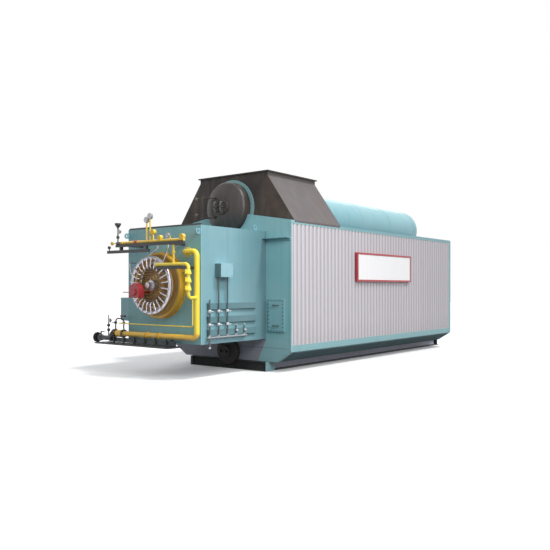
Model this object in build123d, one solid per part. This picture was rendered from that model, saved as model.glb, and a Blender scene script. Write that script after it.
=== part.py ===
from build123d import *
import math
import os

# Package watertube boiler, millimetres. +Z is up, the burner faces -Y, the signed side is +X.
# The origin is on the ground under the middle of the casing.

# Casing
CASING_HALF = 1590
CASING_LENGTH = 7440
WALL_T = 120
SIDE_LOW = 406
SIDE_HIGH = 2956
SIDE_T = 60
ROOF_T = 40
ROOF_SLOPE_DEG = 9.3
BELLY_HALF = 1250
BELLY_T = 40
BELLY_LIP = 20

# Lagging on the sides, ribs as shares of their pitch
RIB_COUNT = 54
RIB_DEPTH = 16
RIB_VALLEY_SHARE = 0.35
RIB_SLOPE_SHARE = 0.15
RIB_CREST_SHARE = 0.35
TRIM_LOW_H = 125
TRIM_HIGH_H = 32
TRIM_FRONT_W = 65
TRIM_REAR_W = 105

# Skid
SKID_H = 190
SKID_HALF = 1030
SKID_FRONT_OVER = 84
SKID_REAR_OVER = 428
BEAM_W = 150
BEAM_FLANGE_T = 16
BEAM_WEB_T = 14

# Drum ends: crown and knuckle radii as shares of the drum's diameter
CROWN_SHARE = 1.0
KNUCKLE_SHARE = 0.08

# Steam drum
DRUM_R = 525
DRUM_T = 38
DRUM_Z = 3288
DRUM_LAG_T = 27
DRUM_FRONT_OVER = 75
DRUM_REAR_OVER = 30
COLLAR_R = 585
COLLAR_W = 45
MANWAY_HALF_W = 205
MANWAY_HALF_H = 155
MANWAY_T = 50
YOKE_SPREAD = 85
YOKE_HALF = 95
YOKE_OUT = 80
YOKE_R = 15
YOKE_BEND = 50
YOKE_BOLT_R = 12
YOKE_BOLT_OVER = 25

# Water column beside the drum end, with its try cocks
COLUMN_X = -470
COLUMN_R = 34
COLUMN_ARM_R = 20
COLUMN_ARM_X = -190
COLUMN_ARM_RISE = 205
COLUMN_ARM_BEND = 40
COLUMN_TAIL = 30
COLUMN_OUT = 300
TRY_COCK_REACH = 175
TRY_COCK_R = 9
TRY_COCK_UP = 80

# Mud drum
MUD_R = 285
MUD_T = 30
MUD_Z = 345
MUD_FRONT_OVER = 40
MUD_HATCH_HALF_W = 165
MUD_HATCH_HALF_H = 125
MUD_HATCH_T = 70

# Flue hood
HOOD_FRONT_IN = 108
HOOD_LENGTH = 1653
HOOD_T = 12
HOOD_TOP_HALF = 929
HOOD_OVER_DRUM = 181
HOOD_LIP = 104
FLUE_RIM = 34
FLUE_RIM_T = 24
FLUE_HOLE_R = 8

# Windbox
BOX_HALF = 977
BOX_DEPTH = 1826
BOX_LOW = 639
BOX_HIGH = 2759
BOX_T = 16
BOX_RIM_H = 32
BOX_RIM_W = 40
BOX_RIM_CLIP = 46
THROAT_R = 470

# Lifting lugs on the windbox
LUG_T = 16
LUG_R = 52
LUG_EYE_R = 20
LUG_NECK = 8
LUG_EDGE_IN = 20
LUG_FRONT_Z = 2645
LUG_TOP_BACK = 320

# Front wall fittings
LEDGE_Z = 2560
LEDGE_H = 60
LEDGE_OUT = 120
LEDGE_T = 14
DOOR_X = 1247
DOOR_W = 400
DOOR_Z = 1106
DOOR_H = 638
DOOR_T = 30
DOOR_CORNER_R = 24
GRIP_W = 130
GRIP_OUT = 48
GRIP_R = 9
GRIP_BEND = 22
GRIP_SPREAD = 200

# Sign board
SIGN_Y = -85
SIGN_W = 2542
SIGN_H = 640
SIGN_Z = 2105
SIGN_T = 55

# Burner, heights forward from the windbox face
BURNER_Z = 1690
BARREL_R = 588
BARREL_T = 25
BARREL_LENGTH = 150
BARREL_FOOT = 25
BARREL_FOOT_T = 20
BARREL_LIP = 14
BARREL_LIP_T = 18
PLATE_T = 20
PLATE_IN = 25
HOOP_R = 420
HOOP_T = 24
HOOP_H = 34
BOSS_R = 210
BOSS_H = 50
RING_R = 500
RING_TUBE_R = 35
RING_OUT = 292
INJECTOR_COUNT = 24
INJECTOR_R = 13
INJECTOR_RISE = 55
INJECTOR_BEND = 40
HUB_R = 95
HUB_LENGTH = 120
GUN_R = 55
GUN_LENGTH = 90

# Register actuator
ACTUATOR_DEG = 209
ACTUATOR_W = 260
ACTUATOR_H = 200
ACTUATOR_PEAK = 75
ACTUATOR_T = 130
ACTUATOR_GAP = 12
ACTUATOR_EDGE_R = 14
ACTUATOR_CAP_R = 62
ACTUATOR_CAP_H = 30
POST_R = 22
LEVER_R = 8
LEVER_LENGTH = 240

# Main gas pipe with its valve between the vents
GAS_R = 50
GAS_OUT = 125
GAS_Z = 765
GAS_BEND = 90
GAS_END_X = -1235
RISER_X = 1000
RISER_TOP = 2285
RISER_OFFSET = 340
GAS_FLANGE_R = 92
GAS_FLANGE_T = 22
COUPLING_R = 62
COUPLING_W = 22
COUPLING_XS = (-290, 45)
GAS_VALVE_R = 72
GAS_VALVE_LENGTH = 190
GAS_VALVE_TAPER = 42

# Gas inlet
INLET_X = -1790
INLET_Z = 662
INLET_R = 46
INLET_WALL = 6
INLET_FLANGE_R = 100
INLET_FLANGE_T = 24
INLET_HOLE_COUNT = 8
INLET_HOLE_R = 8
INLET_VALVE_X = -1720
INLET_VALVE_LENGTH = 120
INLET_VALVE_R = 64
INLET_VALVE_TAPER = 30
INLET_STEM_R = 12
INLET_STEM_TOP = 790
INLET_HANDLE_R = 9
INLET_HANDLE_LENGTH = 100
ELBOW_X = -1335
ELBOW_BEND = 50

# Vents and the inlet gauge
VENT_XS = (-1210, -967)
VENT_R = 13
VENT_TOP = 1050
VENT_BEND = 70
VENT_FLANGE_R = 82
VENT_FLANGE_T = 20
VENT_COCK_Z = 970
VENT_HEAD_RISE = 50
VENT_HEAD_R = 19
VENT_HEAD_LENGTH = 115
COCK_R = 30
COCK_H = 52
COCK_NECK_R = 21
COCK_BAND = 26
GAUGE_X = -1427
GAUGE_STEM_R = 10
GAUGE_STEM_TOP = 1110
GAUGE_Z = 1010
GAUGE_COCK_ZS = (820, 911)
DIAL_R = 42
DIAL_T = 32
DIAL_RIM = 6
ARM_R = 8
ARM_REACH = 105
ARM_OUT = 42
ARM_BEND = 18

# Branch to the burner
BRANCH_OUT = 400
BRANCH_SIDE = 70
BRANCH_R = 32
BRANCH_Z = 1472
BRANCH_BEND = 72
BRANCH_END_DEG = 60
BRANCH_COCK_ZS = (1640, 1780, 1918)
BRANCH_COCK_R = 54
BRANCH_COCK_H = 84
BRANCH_COCK_BAND = 26

# Upper header
HEADER_Z = 2480
HEADER_R = 26
HEADER_LOW_X = -830
HEADER_HIGH_X = 965
HEADER_COCK_X = -658
DROP_X = 705
DROP_R = 18
DROP_CLEAR = 3
STEM_R = 14
SWITCH_POINTS = ((5, 2871), (100, 2932))
SWITCH_R = 54
SWITCH_T = 46
REGULATOR_POINTS = ((185, 2645), (360, 2535), (925, 2535))
REGULATOR_R = 44
REGULATOR_T = 66
NECK_R = 15
WHEEL_X = -968
WHEEL_R = 34
WHEEL_T = 22
SPINDLE_R = 9
SLEEVE_X = -277
SLEEVE_R = 38
SLEEVE_W = 66
HEADER_GAUGE_X = 620
HEADER_GAUGE_Z = 2560
CONE_X = -800
CONE_STEM_R = 12
CONE_LOW = 2760
CONE_R = 58
CONE_H = 66
CONE_BAND = 30
CONE_COCK_Z = 2592
CONE_GAUGE_Z = 2694

# Frames that carry the header and the branch
RAIL_H = 50
RAIL_W = 50
RAIL_LOW_X = -840
RAIL_HIGH_X = 970
RAIL_ARM_X = 560
LOW_BAR_Z = 2320
LOW_BAR_H = 55
LOW_BAR_LOW_X = -1090
LOW_BAR_HIGH_X = 70
LOW_BAR_HANGER_XS = (-700, 0)
KNOB_IN = 35
KNOB_RISE = 60
KNOB_STEM_R = 10
SHELF_LOW_X = 300
SHELF_HIGH_X = 900

# Pilot line
PILOT_R = 11
PILOT_Z = 968
PILOT_BEND = 45

# Slotted deck under the gas pipe
DECK_LOW_X = -1560
DECK_HIGH_X = 510
DECK_TOP = 585
DECK_T = 22
DECK_DEPTH = 355
DECK_EDGE = 60
DECK_SLOT_COUNT = 7
DECK_SLOT_SHARE = 0.4
DECK_POST_R = 20
HANGER_T = 12
HANGER_W = 70
HANGER_RISE = 50
HANGER_XS = (-800, 250)

# Boxes, conduit and drains on the windbox sides
SIDE_BOX_MARGIN = 45
SIDE_BOX_LOW = 1840
SIDE_BOX_H = 250
SIDE_BOX_OUT = 150
SIDE_BOX_EDGE_R = 12
LEFT_BOX_BACK = 20
LEFT_BOX_LENGTH = 330
LEFT_BOX_LOW = 1003
LEFT_BOX_H = 450
LEFT_BOX_OUT = 255
CONDUIT_R = 20
CONDUIT_OUT = 180
CONDUIT_TOP = 2400
CONDUIT_BEND = 60
STRUT_ZS = (839, 1073, 1315)
STRUT_H = 110
STRUT_OUT = 42
STRUT_T = 10
STRUT_BACK = 146
STRUT_LENGTH = 1330
DRAIN_R = 14
DRAIN_BACK = 165
DRAIN_PITCH = 235
DRAIN_HEADER_R = 18
DRAIN_HEADER_Z = 755
DRAIN_OVER = 60
DRAIN_FIRST_TOP = 1430
DRAIN_SHORT_TOP = 975
DRAIN_TAIL_LOW = 560
DRAIN_TALL_COUNT = 3
DRAIN_COCK_ZS = (985, 1225)

# Bright tubes to the ring
LINE_R = 11
LINE_BEND = 60
LINE_XS = (313, 579)
LINE_DEGS = (112.5, 52.5)
LINE_SAG = 110
FACE_LINE_X = -760
FACE_LINE_Z = 2120
FACE_LINE_DEG = 157.5

# Derived planes
FRONT = -CASING_LENGTH / 2
REAR = CASING_LENGTH / 2
SLOPE = math.tan(math.radians(ROOF_SLOPE_DEG))
RIDGE_Z = SIDE_HIGH + CASING_HALF * SLOPE
EAVE_Z = SIDE_HIGH - ROOF_T
BOX_FRONT = FRONT - BOX_DEPTH
LAG_R = DRUM_R + DRUM_LAG_T
SKID_FRONT = FRONT - SKID_FRONT_OVER
SKID_REAR = REAR + SKID_REAR_OVER
HOOD_FRONT = FRONT + HOOD_FRONT_IN
HOOD_REAR = HOOD_FRONT + HOOD_LENGTH
HOOD_TOP = DRUM_Z + DRUM_R + HOOD_OVER_DRUM
HOOD_KNEE = HOOD_TOP - HOOD_LIP
DRUM_FRONT = FRONT - DRUM_FRONT_OVER
DRUM_REAR = REAR + DRUM_REAR_OVER
MUD_FRONT = FRONT - MUD_FRONT_OVER
INNER_FRONT = FRONT + WALL_T
INNER_REAR = REAR - WALL_T
GAS_Y = BOX_FRONT - GAS_OUT
BRANCH_Y = BOX_FRONT - BRANCH_OUT
BRANCH_X = RISER_X + BRANCH_SIDE
RING_Y = BOX_FRONT - RING_OUT


def block(x0, x1, y0, y1, z0, z1):
    """A plain box between two corners."""
    return Pos((x0 + x1) / 2, (y0 + y1) / 2, (z0 + z1) / 2) * Box(x1 - x0, y1 - y0, z1 - z0)


def rod(start, end, radius):
    """A round bar from one point to another."""
    axis = Vector(*end) - Vector(*start)
    place = Plane(origin=start, z_dir=axis)
    return place * Cylinder(radius, axis.length, align=(Align.CENTER, Align.CENTER, Align.MIN))


def tube(start, end, outer, inner):
    """A round tube from one point to another."""
    return rod(start, end, outer) - rod(start, end, inner)


def prism(points, y0, y1):
    """A plate with an outline in X and Z, from y0 back to y1."""
    face = make_face(Polyline(*[(x, y0, z) for x, z in points], close=True))
    return extrude(face, amount=y1 - y0, dir=(0, 1, 0))


def pipe(points, radius, bend):
    """A bent round bar through the given corners."""
    path = FilletPolyline(*points, radius=bend)
    return sweep(Plane(origin=path @ 0, z_dir=path % 0) * Circle(radius), path=path)


def turned(points, place):
    """A piece turned on a lathe from radius and height pairs, on the plane's normal."""
    profile = make_face(Polyline(*[(r, 0, h) for r, h in points], close=True))
    return place * revolve(profile, axis=Axis.Z)


def facing_out(x, z, y):
    """A plane that looks forward from the boiler, for round pieces on its front."""
    return Plane(origin=(x, y, z), x_dir=(1, 0, 0), z_dir=(0, -1, 0))


def mirrored(shape):
    """The same piece on the other side of the boiler."""
    return mirror(shape, about=Plane.YZ)


def drum_bar(radius, z):
    """A long bar on a drum axis, for cutting its way through the casing."""
    return rod((0, -CASING_LENGTH, z), (0, CASING_LENGTH, z), radius)


def head_arcs(radius, inset):
    """The knuckle and crown arcs of a dished drum end, set in by a wall."""
    knuckle = KNUCKLE_SHARE * 2 * radius
    crown = CROWN_SHARE * 2 * radius
    drop = math.sqrt((crown - knuckle) ** 2 - (radius - knuckle) ** 2)
    turn = math.degrees(math.atan2(drop, radius - knuckle))
    low = CenterArc((radius - knuckle, 0), knuckle - inset, 0, turn)
    high = CenterArc((0, -drop), crown - inset, turn, 90 - turn)
    return low, high


def head_plug(radius):
    """A dished drum end as a full body, domed along +Y."""
    low, high = head_arcs(radius, 0)
    base = Line((0, 0), low @ 0)
    pole = Line(high @ 1, (0, 0))
    return revolve(make_face([base, low, high, pole]), axis=Axis.Y)


def dished_head(radius, thickness):
    """A dished drum end with a rolled knuckle, domed along +Y."""
    outer_low, outer_high = head_arcs(radius, 0)
    inner_low, inner_high = head_arcs(radius, thickness)
    rim = Line(inner_low @ 0, outer_low @ 0)
    pole = Line(outer_high @ 1, inner_high @ 1)
    return revolve(make_face([rim, outer_low, outer_high, pole, inner_high, inner_low]), axis=Axis.Y)


def head_rise(radius):
    """How far a dished drum end stands out from its tangent line."""
    crown_arc = head_arcs(radius, 0)[1]
    return (crown_arc @ 1).Y


def forward(shape):
    """Turns a piece that points back so that it points forward."""
    return Rot(180, 0, 0) * shape


def beam(length):
    """A wide-flange beam standing on the ground, along the plane's normal."""
    high = SKID_H - BEAM_FLANGE_T
    half = BEAM_W / 2
    web = BEAM_WEB_T / 2
    outline = [
        (-half, 0), (half, 0), (half, BEAM_FLANGE_T), (web, BEAM_FLANGE_T), (web, high), (half, high),
        (half, SKID_H), (-half, SKID_H), (-half, high), (-web, high), (-web, BEAM_FLANGE_T),
        (-half, BEAM_FLANGE_T),
    ]
    return extrude(make_face(Polyline(*outline, close=True)), amount=length)


def saddle(y_mid, x_half):
    """A beam across the skid, hollowed to seat the mud drum."""
    place = Plane(origin=(-x_half, y_mid, 0), x_dir=(0, 1, 0), z_dir=(1, 0, 0))
    return place * beam(2 * x_half) - drum_bar(MUD_R, MUD_Z)


def channel(y0, y1, z_mid):
    """A lipless channel on the windbox side, open towards the plate."""
    high = z_mid + STRUT_H / 2
    low = z_mid - STRUT_H / 2
    back = BOX_HALF + STRUT_OUT
    web = back - STRUT_T
    outline = [
        (BOX_HALF, low), (back, low), (back, high), (BOX_HALF, high), (BOX_HALF, high - STRUT_T),
        (web, high - STRUT_T), (web, low + STRUT_T), (BOX_HALF, low + STRUT_T),
    ]
    return prism(outline, y0, y1)


def around(radius, degrees, height):
    """A point round the burner axis, at a height forward from the windbox face."""
    turn = math.radians(degrees)
    return (radius * math.cos(turn), BOX_FRONT - height, BURNER_Z + radius * math.sin(turn))


def valve_body(length, neck, belly, taper):
    """The outline of a valve body that swells between two pipe ends."""
    return [(0, 0), (neck, 0), (belly, taper), (belly, length - taper), (neck, length), (0, length)]


def cock_on(place):
    """A small valve body centred on a plane, along its normal."""
    outline = [
        (0, -COCK_H / 2), (COCK_NECK_R, -COCK_H / 2), (COCK_R, -COCK_BAND / 2), (COCK_R, COCK_BAND / 2),
        (COCK_NECK_R, COCK_H / 2), (0, COCK_H / 2),
    ]
    return turned(outline, place)


def cock(x, y, z):
    """A small valve body on an upright stem."""
    return cock_on(Plane(origin=(x, y, z)))


def dial(x, y, z):
    """A round gauge with its back on the plane y and a rim round its face."""
    face = DIAL_R - DIAL_RIM
    floor = DIAL_T - DIAL_RIM
    outline = [(0, 0), (DIAL_R, 0), (DIAL_R, DIAL_T), (face, DIAL_T), (face, floor), (0, floor)]
    return turned(outline, facing_out(x, z, y))


def gauge_arm(x, y, z):
    """A bent arm from an upright stem to the back of a gauge."""
    reach = x + ARM_REACH
    return pipe([(x, y, z), (reach, y, z), (reach, y - ARM_OUT, z)], ARM_R, ARM_BEND)


parts = {}

# Skid
runner_origin = (SKID_HALF - BEAM_W / 2, SKID_FRONT + BEAM_W, 0)
runner_place = Plane(origin=runner_origin, x_dir=(-1, 0, 0), z_dir=(0, 1, 0))
runner = runner_place * beam(SKID_REAR - SKID_FRONT - 2 * BEAM_W)
parts["skid_runner_right"] = runner
parts["skid_runner_left"] = mirrored(runner)
parts["front_saddle_beam"] = saddle(SKID_FRONT + BEAM_W / 2, SKID_HALF)
parts["mid_saddle_beam"] = saddle(0, SKID_HALF - BEAM_W)
parts["rear_saddle_beam"] = saddle(SKID_REAR - BEAM_W / 2, SKID_HALF)

# Casing ends, between the side panels
wall_outline = [
    (-BELLY_HALF, SKID_H), (BELLY_HALF, SKID_H), (CASING_HALF, SIDE_LOW), (CASING_HALF, SIDE_HIGH),
    (0, RIDGE_Z), (-CASING_HALF, SIDE_HIGH), (-CASING_HALF, SIDE_LOW),
]
side_panel = block(CASING_HALF - SIDE_T, CASING_HALF, FRONT, REAR, SIDE_LOW, EAVE_Z)
side_panels = side_panel + mirrored(side_panel)
front_slab = prism(wall_outline, FRONT, INNER_FRONT) - side_panels
throat = rod((0, FRONT, BURNER_Z), (0, INNER_FRONT, BURNER_Z), THROAT_R)
parts["front_wall"] = front_slab - drum_bar(DRUM_R, DRUM_Z) - drum_bar(MUD_R, MUD_Z) - throat
rear_slab = prism(wall_outline, INNER_REAR, REAR) - side_panels
parts["rear_wall"] = rear_slab - drum_bar(LAG_R, DRUM_Z) - drum_bar(MUD_R, MUD_Z)

# Casing floor, bent up to the sides
belly_outline = [
    (0, SKID_H), (BELLY_HALF, SKID_H), (CASING_HALF, SIDE_LOW - BELLY_LIP), (CASING_HALF, SIDE_LOW),
    (CASING_HALF - SIDE_T, SIDE_LOW), (BELLY_HALF, SKID_H + BELLY_T), (0, SKID_H + BELLY_T),
]
belly = prism(belly_outline, INNER_FRONT, INNER_REAR) - drum_bar(MUD_R, MUD_Z)
parts["casing_floor_right"] = belly
parts["casing_floor_left"] = mirrored(belly)

# Casing roof, behind the hood
roof_outline = [
    (0, RIDGE_Z), (CASING_HALF, SIDE_HIGH), (CASING_HALF, EAVE_Z), (CASING_HALF - SIDE_T, EAVE_Z),
    (0, RIDGE_Z - ROOF_T),
]
roof = prism(roof_outline, HOOD_REAR - HOOD_T, INNER_REAR) - drum_bar(LAG_R, DRUM_Z)
parts["casing_roof_right"] = roof
parts["casing_roof_left"] = mirrored(roof)

# Side lagging in its trim
lag_low = SIDE_LOW + TRIM_LOW_H
lag_high = EAVE_Z - TRIM_HIGH_H
lag_front = FRONT + TRIM_FRONT_W
lag_rear = REAR - TRIM_REAR_W
pitch = (lag_rear - lag_front) / RIB_COUNT
valley = CASING_HALF - RIB_DEPTH
valley_end = RIB_VALLEY_SHARE * pitch
crest_start = valley_end + RIB_SLOPE_SHARE * pitch
crest_end = crest_start + RIB_CREST_SHARE * pitch
ribs = [(CASING_HALF - SIDE_T, lag_front)]
for n in range(RIB_COUNT):
    y = lag_front + n * pitch
    ribs += [(valley, y), (valley, y + valley_end)]
    ribs += [(CASING_HALF, y + crest_start), (CASING_HALF, y + crest_end)]
ribs += [(valley, lag_rear), (CASING_HALF - SIDE_T, lag_rear)]
sheet = make_face(Polyline(*[(x, y, lag_low) for x, y in ribs], close=True))
lagging = extrude(sheet, amount=lag_high - lag_low, dir=(0, 0, 1))
parts["side_lagging_right"] = lagging
parts["side_lagging_left"] = mirrored(lagging)
trim = side_panel - block(CASING_HALF - SIDE_T, CASING_HALF, lag_front, lag_rear, lag_low, lag_high)
parts["side_trim_right"] = trim
parts["side_trim_left"] = mirrored(trim)

# Steam drum
drum_axis_front = (0, DRUM_FRONT, DRUM_Z)
drum_axis_rear = (0, DRUM_REAR, DRUM_Z)
drum_plug = Pos(*drum_axis_front) * forward(head_plug(DRUM_R))
drum_plug += rod(drum_axis_front, (0, FRONT, DRUM_Z), DRUM_R)
manway_y = DRUM_FRONT - head_rise(DRUM_R)
manway_place = facing_out(0, DRUM_Z, manway_y + MANWAY_T / 2)
manway = manway_place * extrude(Ellipse(MANWAY_HALF_W, MANWAY_HALF_H), amount=MANWAY_T)
parts["steam_drum_shell"] = tube(drum_axis_front, drum_axis_rear, DRUM_R, DRUM_R - DRUM_T)
parts["steam_drum_lagging"] = tube((0, HOOD_REAR, DRUM_Z), drum_axis_rear, LAG_R, DRUM_R)
parts["steam_drum_front_head"] = Pos(*drum_axis_front) * forward(dished_head(DRUM_R, DRUM_T)) - manway
parts["steam_drum_rear_head"] = Pos(*drum_axis_rear) * dished_head(DRUM_R, DRUM_T)
yoke_foot = manway_y - MANWAY_T / 2
yoke_top = yoke_foot - YOKE_OUT
yoke_low = DRUM_Z - YOKE_HALF
yoke_high = DRUM_Z + YOKE_HALF
yoke_path = [
    (YOKE_SPREAD, yoke_foot, yoke_low), (YOKE_SPREAD, yoke_top, yoke_low), (YOKE_SPREAD, yoke_top, yoke_high),
    (YOKE_SPREAD, yoke_foot, yoke_high),
]
yoke = pipe(yoke_path, YOKE_R, YOKE_BEND)
yoke += rod((YOKE_SPREAD, yoke_top - YOKE_BOLT_OVER, DRUM_Z), (YOKE_SPREAD, yoke_foot, DRUM_Z), YOKE_BOLT_R)
parts["steam_drum_manway"] = manway + yoke + mirrored(yoke)
collar = tube((0, HOOD_FRONT - COLLAR_W, DRUM_Z), (0, HOOD_FRONT, DRUM_Z), COLLAR_R, DRUM_R)
parts["steam_drum_collar"] = collar - front_slab

# Water column beside the drum end, with its try cocks
column_y = FRONT - COLUMN_OUT
column_low = DRUM_Z - COLUMN_ARM_RISE
column_high = DRUM_Z + COLUMN_ARM_RISE
column_foot = (COLUMN_X, column_y, column_low - COLUMN_TAIL)
column = rod(column_foot, (COLUMN_X, column_y, column_high + COLUMN_TAIL), COLUMN_R)
for z in (column_low, column_high):
    arm_path = [(COLUMN_X, column_y, z), (COLUMN_ARM_X, column_y, z), (COLUMN_ARM_X, FRONT, z)]
    column += pipe(arm_path, COLUMN_ARM_R, COLUMN_ARM_BEND)
try_cock_x = COLUMN_X - TRY_COCK_REACH
for z in (column_low + TRY_COCK_UP, column_high):
    column += rod((try_cock_x, column_y, z), (COLUMN_X, column_y, z), TRY_COCK_R)
    column += cock_on(Plane(origin=(try_cock_x, column_y, z), z_dir=(1, 0, 0)))
parts["water_column"] = column - drum_plug - manway

# Mud drum
mud_axis_front = (0, MUD_FRONT, MUD_Z)
mud_axis_rear = (0, REAR, MUD_Z)
hatch_place = facing_out(0, MUD_Z, MUD_FRONT - head_rise(MUD_R) + MUD_HATCH_T / 2)
hatch = hatch_place * extrude(Ellipse(MUD_HATCH_HALF_W, MUD_HATCH_HALF_H), amount=MUD_HATCH_T)
parts["mud_drum_shell"] = tube(mud_axis_front, mud_axis_rear, MUD_R, MUD_R - MUD_T)
parts["mud_drum_front_head"] = Pos(*mud_axis_front) * forward(dished_head(MUD_R, MUD_T)) - hatch
parts["mud_drum_rear_head"] = Pos(*mud_axis_rear) * dished_head(MUD_R, MUD_T)
parts["mud_drum_hatch"] = hatch

# Flue hood
hood_run = CASING_HALF - HOOD_TOP_HALF
hood_rise = HOOD_KNEE - SIDE_HIGH
skew = HOOD_T * math.hypot(hood_run, hood_rise) / hood_rise
hood_rim = HOOD_TOP - FLUE_RIM_T
hood_outline = [
    (-CASING_HALF, SIDE_HIGH), (0, RIDGE_Z), (CASING_HALF, SIDE_HIGH), (HOOD_TOP_HALF, HOOD_KNEE),
    (HOOD_TOP_HALF, hood_rim), (-HOOD_TOP_HALF, hood_rim), (-HOOD_TOP_HALF, HOOD_KNEE),
]
parts["hood_front"] = prism(hood_outline, HOOD_FRONT, HOOD_FRONT + HOOD_T) - drum_bar(DRUM_R, DRUM_Z)
parts["hood_rear"] = prism(hood_outline, HOOD_REAR - HOOD_T, HOOD_REAR) - drum_bar(DRUM_R, DRUM_Z)
mouth_x = HOOD_TOP_HALF - skew
foot_x = CASING_HALF - skew
hood_side_outline = [
    (CASING_HALF, EAVE_Z), (CASING_HALF, SIDE_HIGH), (HOOD_TOP_HALF, HOOD_KNEE), (HOOD_TOP_HALF, hood_rim),
    (mouth_x, hood_rim), (mouth_x, HOOD_KNEE), (foot_x, SIDE_HIGH), (foot_x, EAVE_Z),
]
hood_side = prism(hood_side_outline, HOOD_FRONT + HOOD_T, HOOD_REAR - HOOD_T)
parts["hood_side_right"] = hood_side
parts["hood_side_left"] = mirrored(hood_side)
rim_x = HOOD_TOP_HALF + FLUE_RIM
rim = block(-rim_x, rim_x, HOOD_FRONT - FLUE_RIM, HOOD_REAR + FLUE_RIM, hood_rim, HOOD_TOP)
rim -= block(-mouth_x, mouth_x, HOOD_FRONT + HOOD_T, HOOD_REAR - HOOD_T, hood_rim, HOOD_TOP)
hood_mid = (HOOD_FRONT + HOOD_REAR) / 2
row_x = HOOD_TOP_HALF + FLUE_RIM / 2
row_y = HOOD_LENGTH / 2 + FLUE_RIM / 2
for x_hole, y_hole in [(row_x, row_y), (row_x / 2, row_y), (row_x, row_y / 2)]:
    for x in (-x_hole, x_hole):
        for y in (hood_mid - y_hole, hood_mid + y_hole):
            rim -= rod((x, y, hood_rim), (x, y, HOOD_TOP), FLUE_HOLE_R)
parts["flue_flange"] = rim

# Windbox
box_back = BOX_FRONT + BOX_T
box_in = BOX_HALF - BOX_T
barrel_in = BARREL_R - BARREL_T
box_rim_outline = [
    (-BOX_HALF, BOX_HIGH), (BOX_HALF, BOX_HIGH), (BOX_HALF, BOX_HIGH + BOX_RIM_H),
    (BOX_RIM_CLIP - BOX_HALF, BOX_HIGH + BOX_RIM_H),
]
box_front = block(-BOX_HALF, BOX_HALF, BOX_FRONT, box_back, BOX_LOW, BOX_HIGH)
box_front += prism(box_rim_outline, BOX_FRONT, BOX_FRONT + BOX_RIM_W)
parts["windbox_front"] = box_front - rod((0, BOX_FRONT, BURNER_Z), (0, box_back, BURNER_Z), barrel_in)
box_side = block(box_in, BOX_HALF, box_back, FRONT, BOX_LOW, BOX_HIGH)
parts["windbox_side_right"] = box_side
parts["windbox_side_left"] = mirrored(box_side)
parts["windbox_top"] = block(-box_in, box_in, box_back, FRONT, BOX_HIGH - BOX_T, BOX_HIGH)
parts["windbox_bottom"] = block(-box_in, box_in, box_back, FRONT, BOX_LOW, BOX_LOW + BOX_T)

# Lifting lugs: an eye on a short plate
lug_reach = LUG_R + LUG_NECK
lug_flat = Circle(LUG_R) + Pos(-lug_reach / 2, 0) * Rectangle(lug_reach, 2 * LUG_R) - Circle(LUG_EYE_R)
lug_plate = extrude(lug_flat, amount=LUG_T / 2, both=True)
lug_x = BOX_HALF - LUG_EDGE_IN
front_lug_eye = (lug_x, BOX_FRONT - lug_reach, LUG_FRONT_Z)
front_lug = Plane(origin=front_lug_eye, x_dir=(0, -1, 0), z_dir=(1, 0, 0)) * lug_plate
top_lug_eye = (lug_x, FRONT - LUG_TOP_BACK, BOX_HIGH + lug_reach)
top_lug = Plane(origin=top_lug_eye, x_dir=(0, 0, 1), z_dir=(1, 0, 0)) * lug_plate
parts["lifting_lugs"] = Compound([front_lug, top_lug, mirrored(front_lug), mirrored(top_lug)])

# Front wall fittings
ledge_under = LEDGE_Z + LEDGE_H - LEDGE_T
ledge_outline = [
    (FRONT, LEDGE_Z), (FRONT - LEDGE_T, LEDGE_Z), (FRONT - LEDGE_T, ledge_under),
    (FRONT - LEDGE_OUT, ledge_under), (FRONT - LEDGE_OUT, LEDGE_Z + LEDGE_H), (FRONT, LEDGE_Z + LEDGE_H),
]
ledge_face = make_face(Polyline(*[(BOX_HALF, y, z) for y, z in ledge_outline], close=True))
ledge = extrude(ledge_face, amount=CASING_HALF - BOX_HALF, dir=(1, 0, 0))
parts["front_ledges"] = ledge + mirrored(ledge)
door_y = FRONT - DOOR_T
door_flat = RectangleRounded(DOOR_W, DOOR_H, DOOR_CORNER_R)
door = facing_out(DOOR_X, DOOR_Z, FRONT) * extrude(door_flat, amount=DOOR_T)
grip_left = DOOR_X - GRIP_W / 2
grip_right = DOOR_X + GRIP_W / 2
grip_y = door_y - GRIP_OUT
for z in (DOOR_Z - GRIP_SPREAD, DOOR_Z + GRIP_SPREAD):
    grip_path = [
        (grip_left, door_y, z), (grip_left, grip_y, z), (grip_right, grip_y, z), (grip_right, door_y, z),
    ]
    door += pipe(grip_path, GRIP_R, GRIP_BEND)
parts["access_doors"] = door + mirrored(door)

# Sign board, bare
sign_x = CASING_HALF + SIGN_T / 2
parts["sign_board"] = Pos(sign_x, SIGN_Y, SIGN_Z) * Box(SIGN_T, SIGN_W, SIGN_H)

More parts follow.
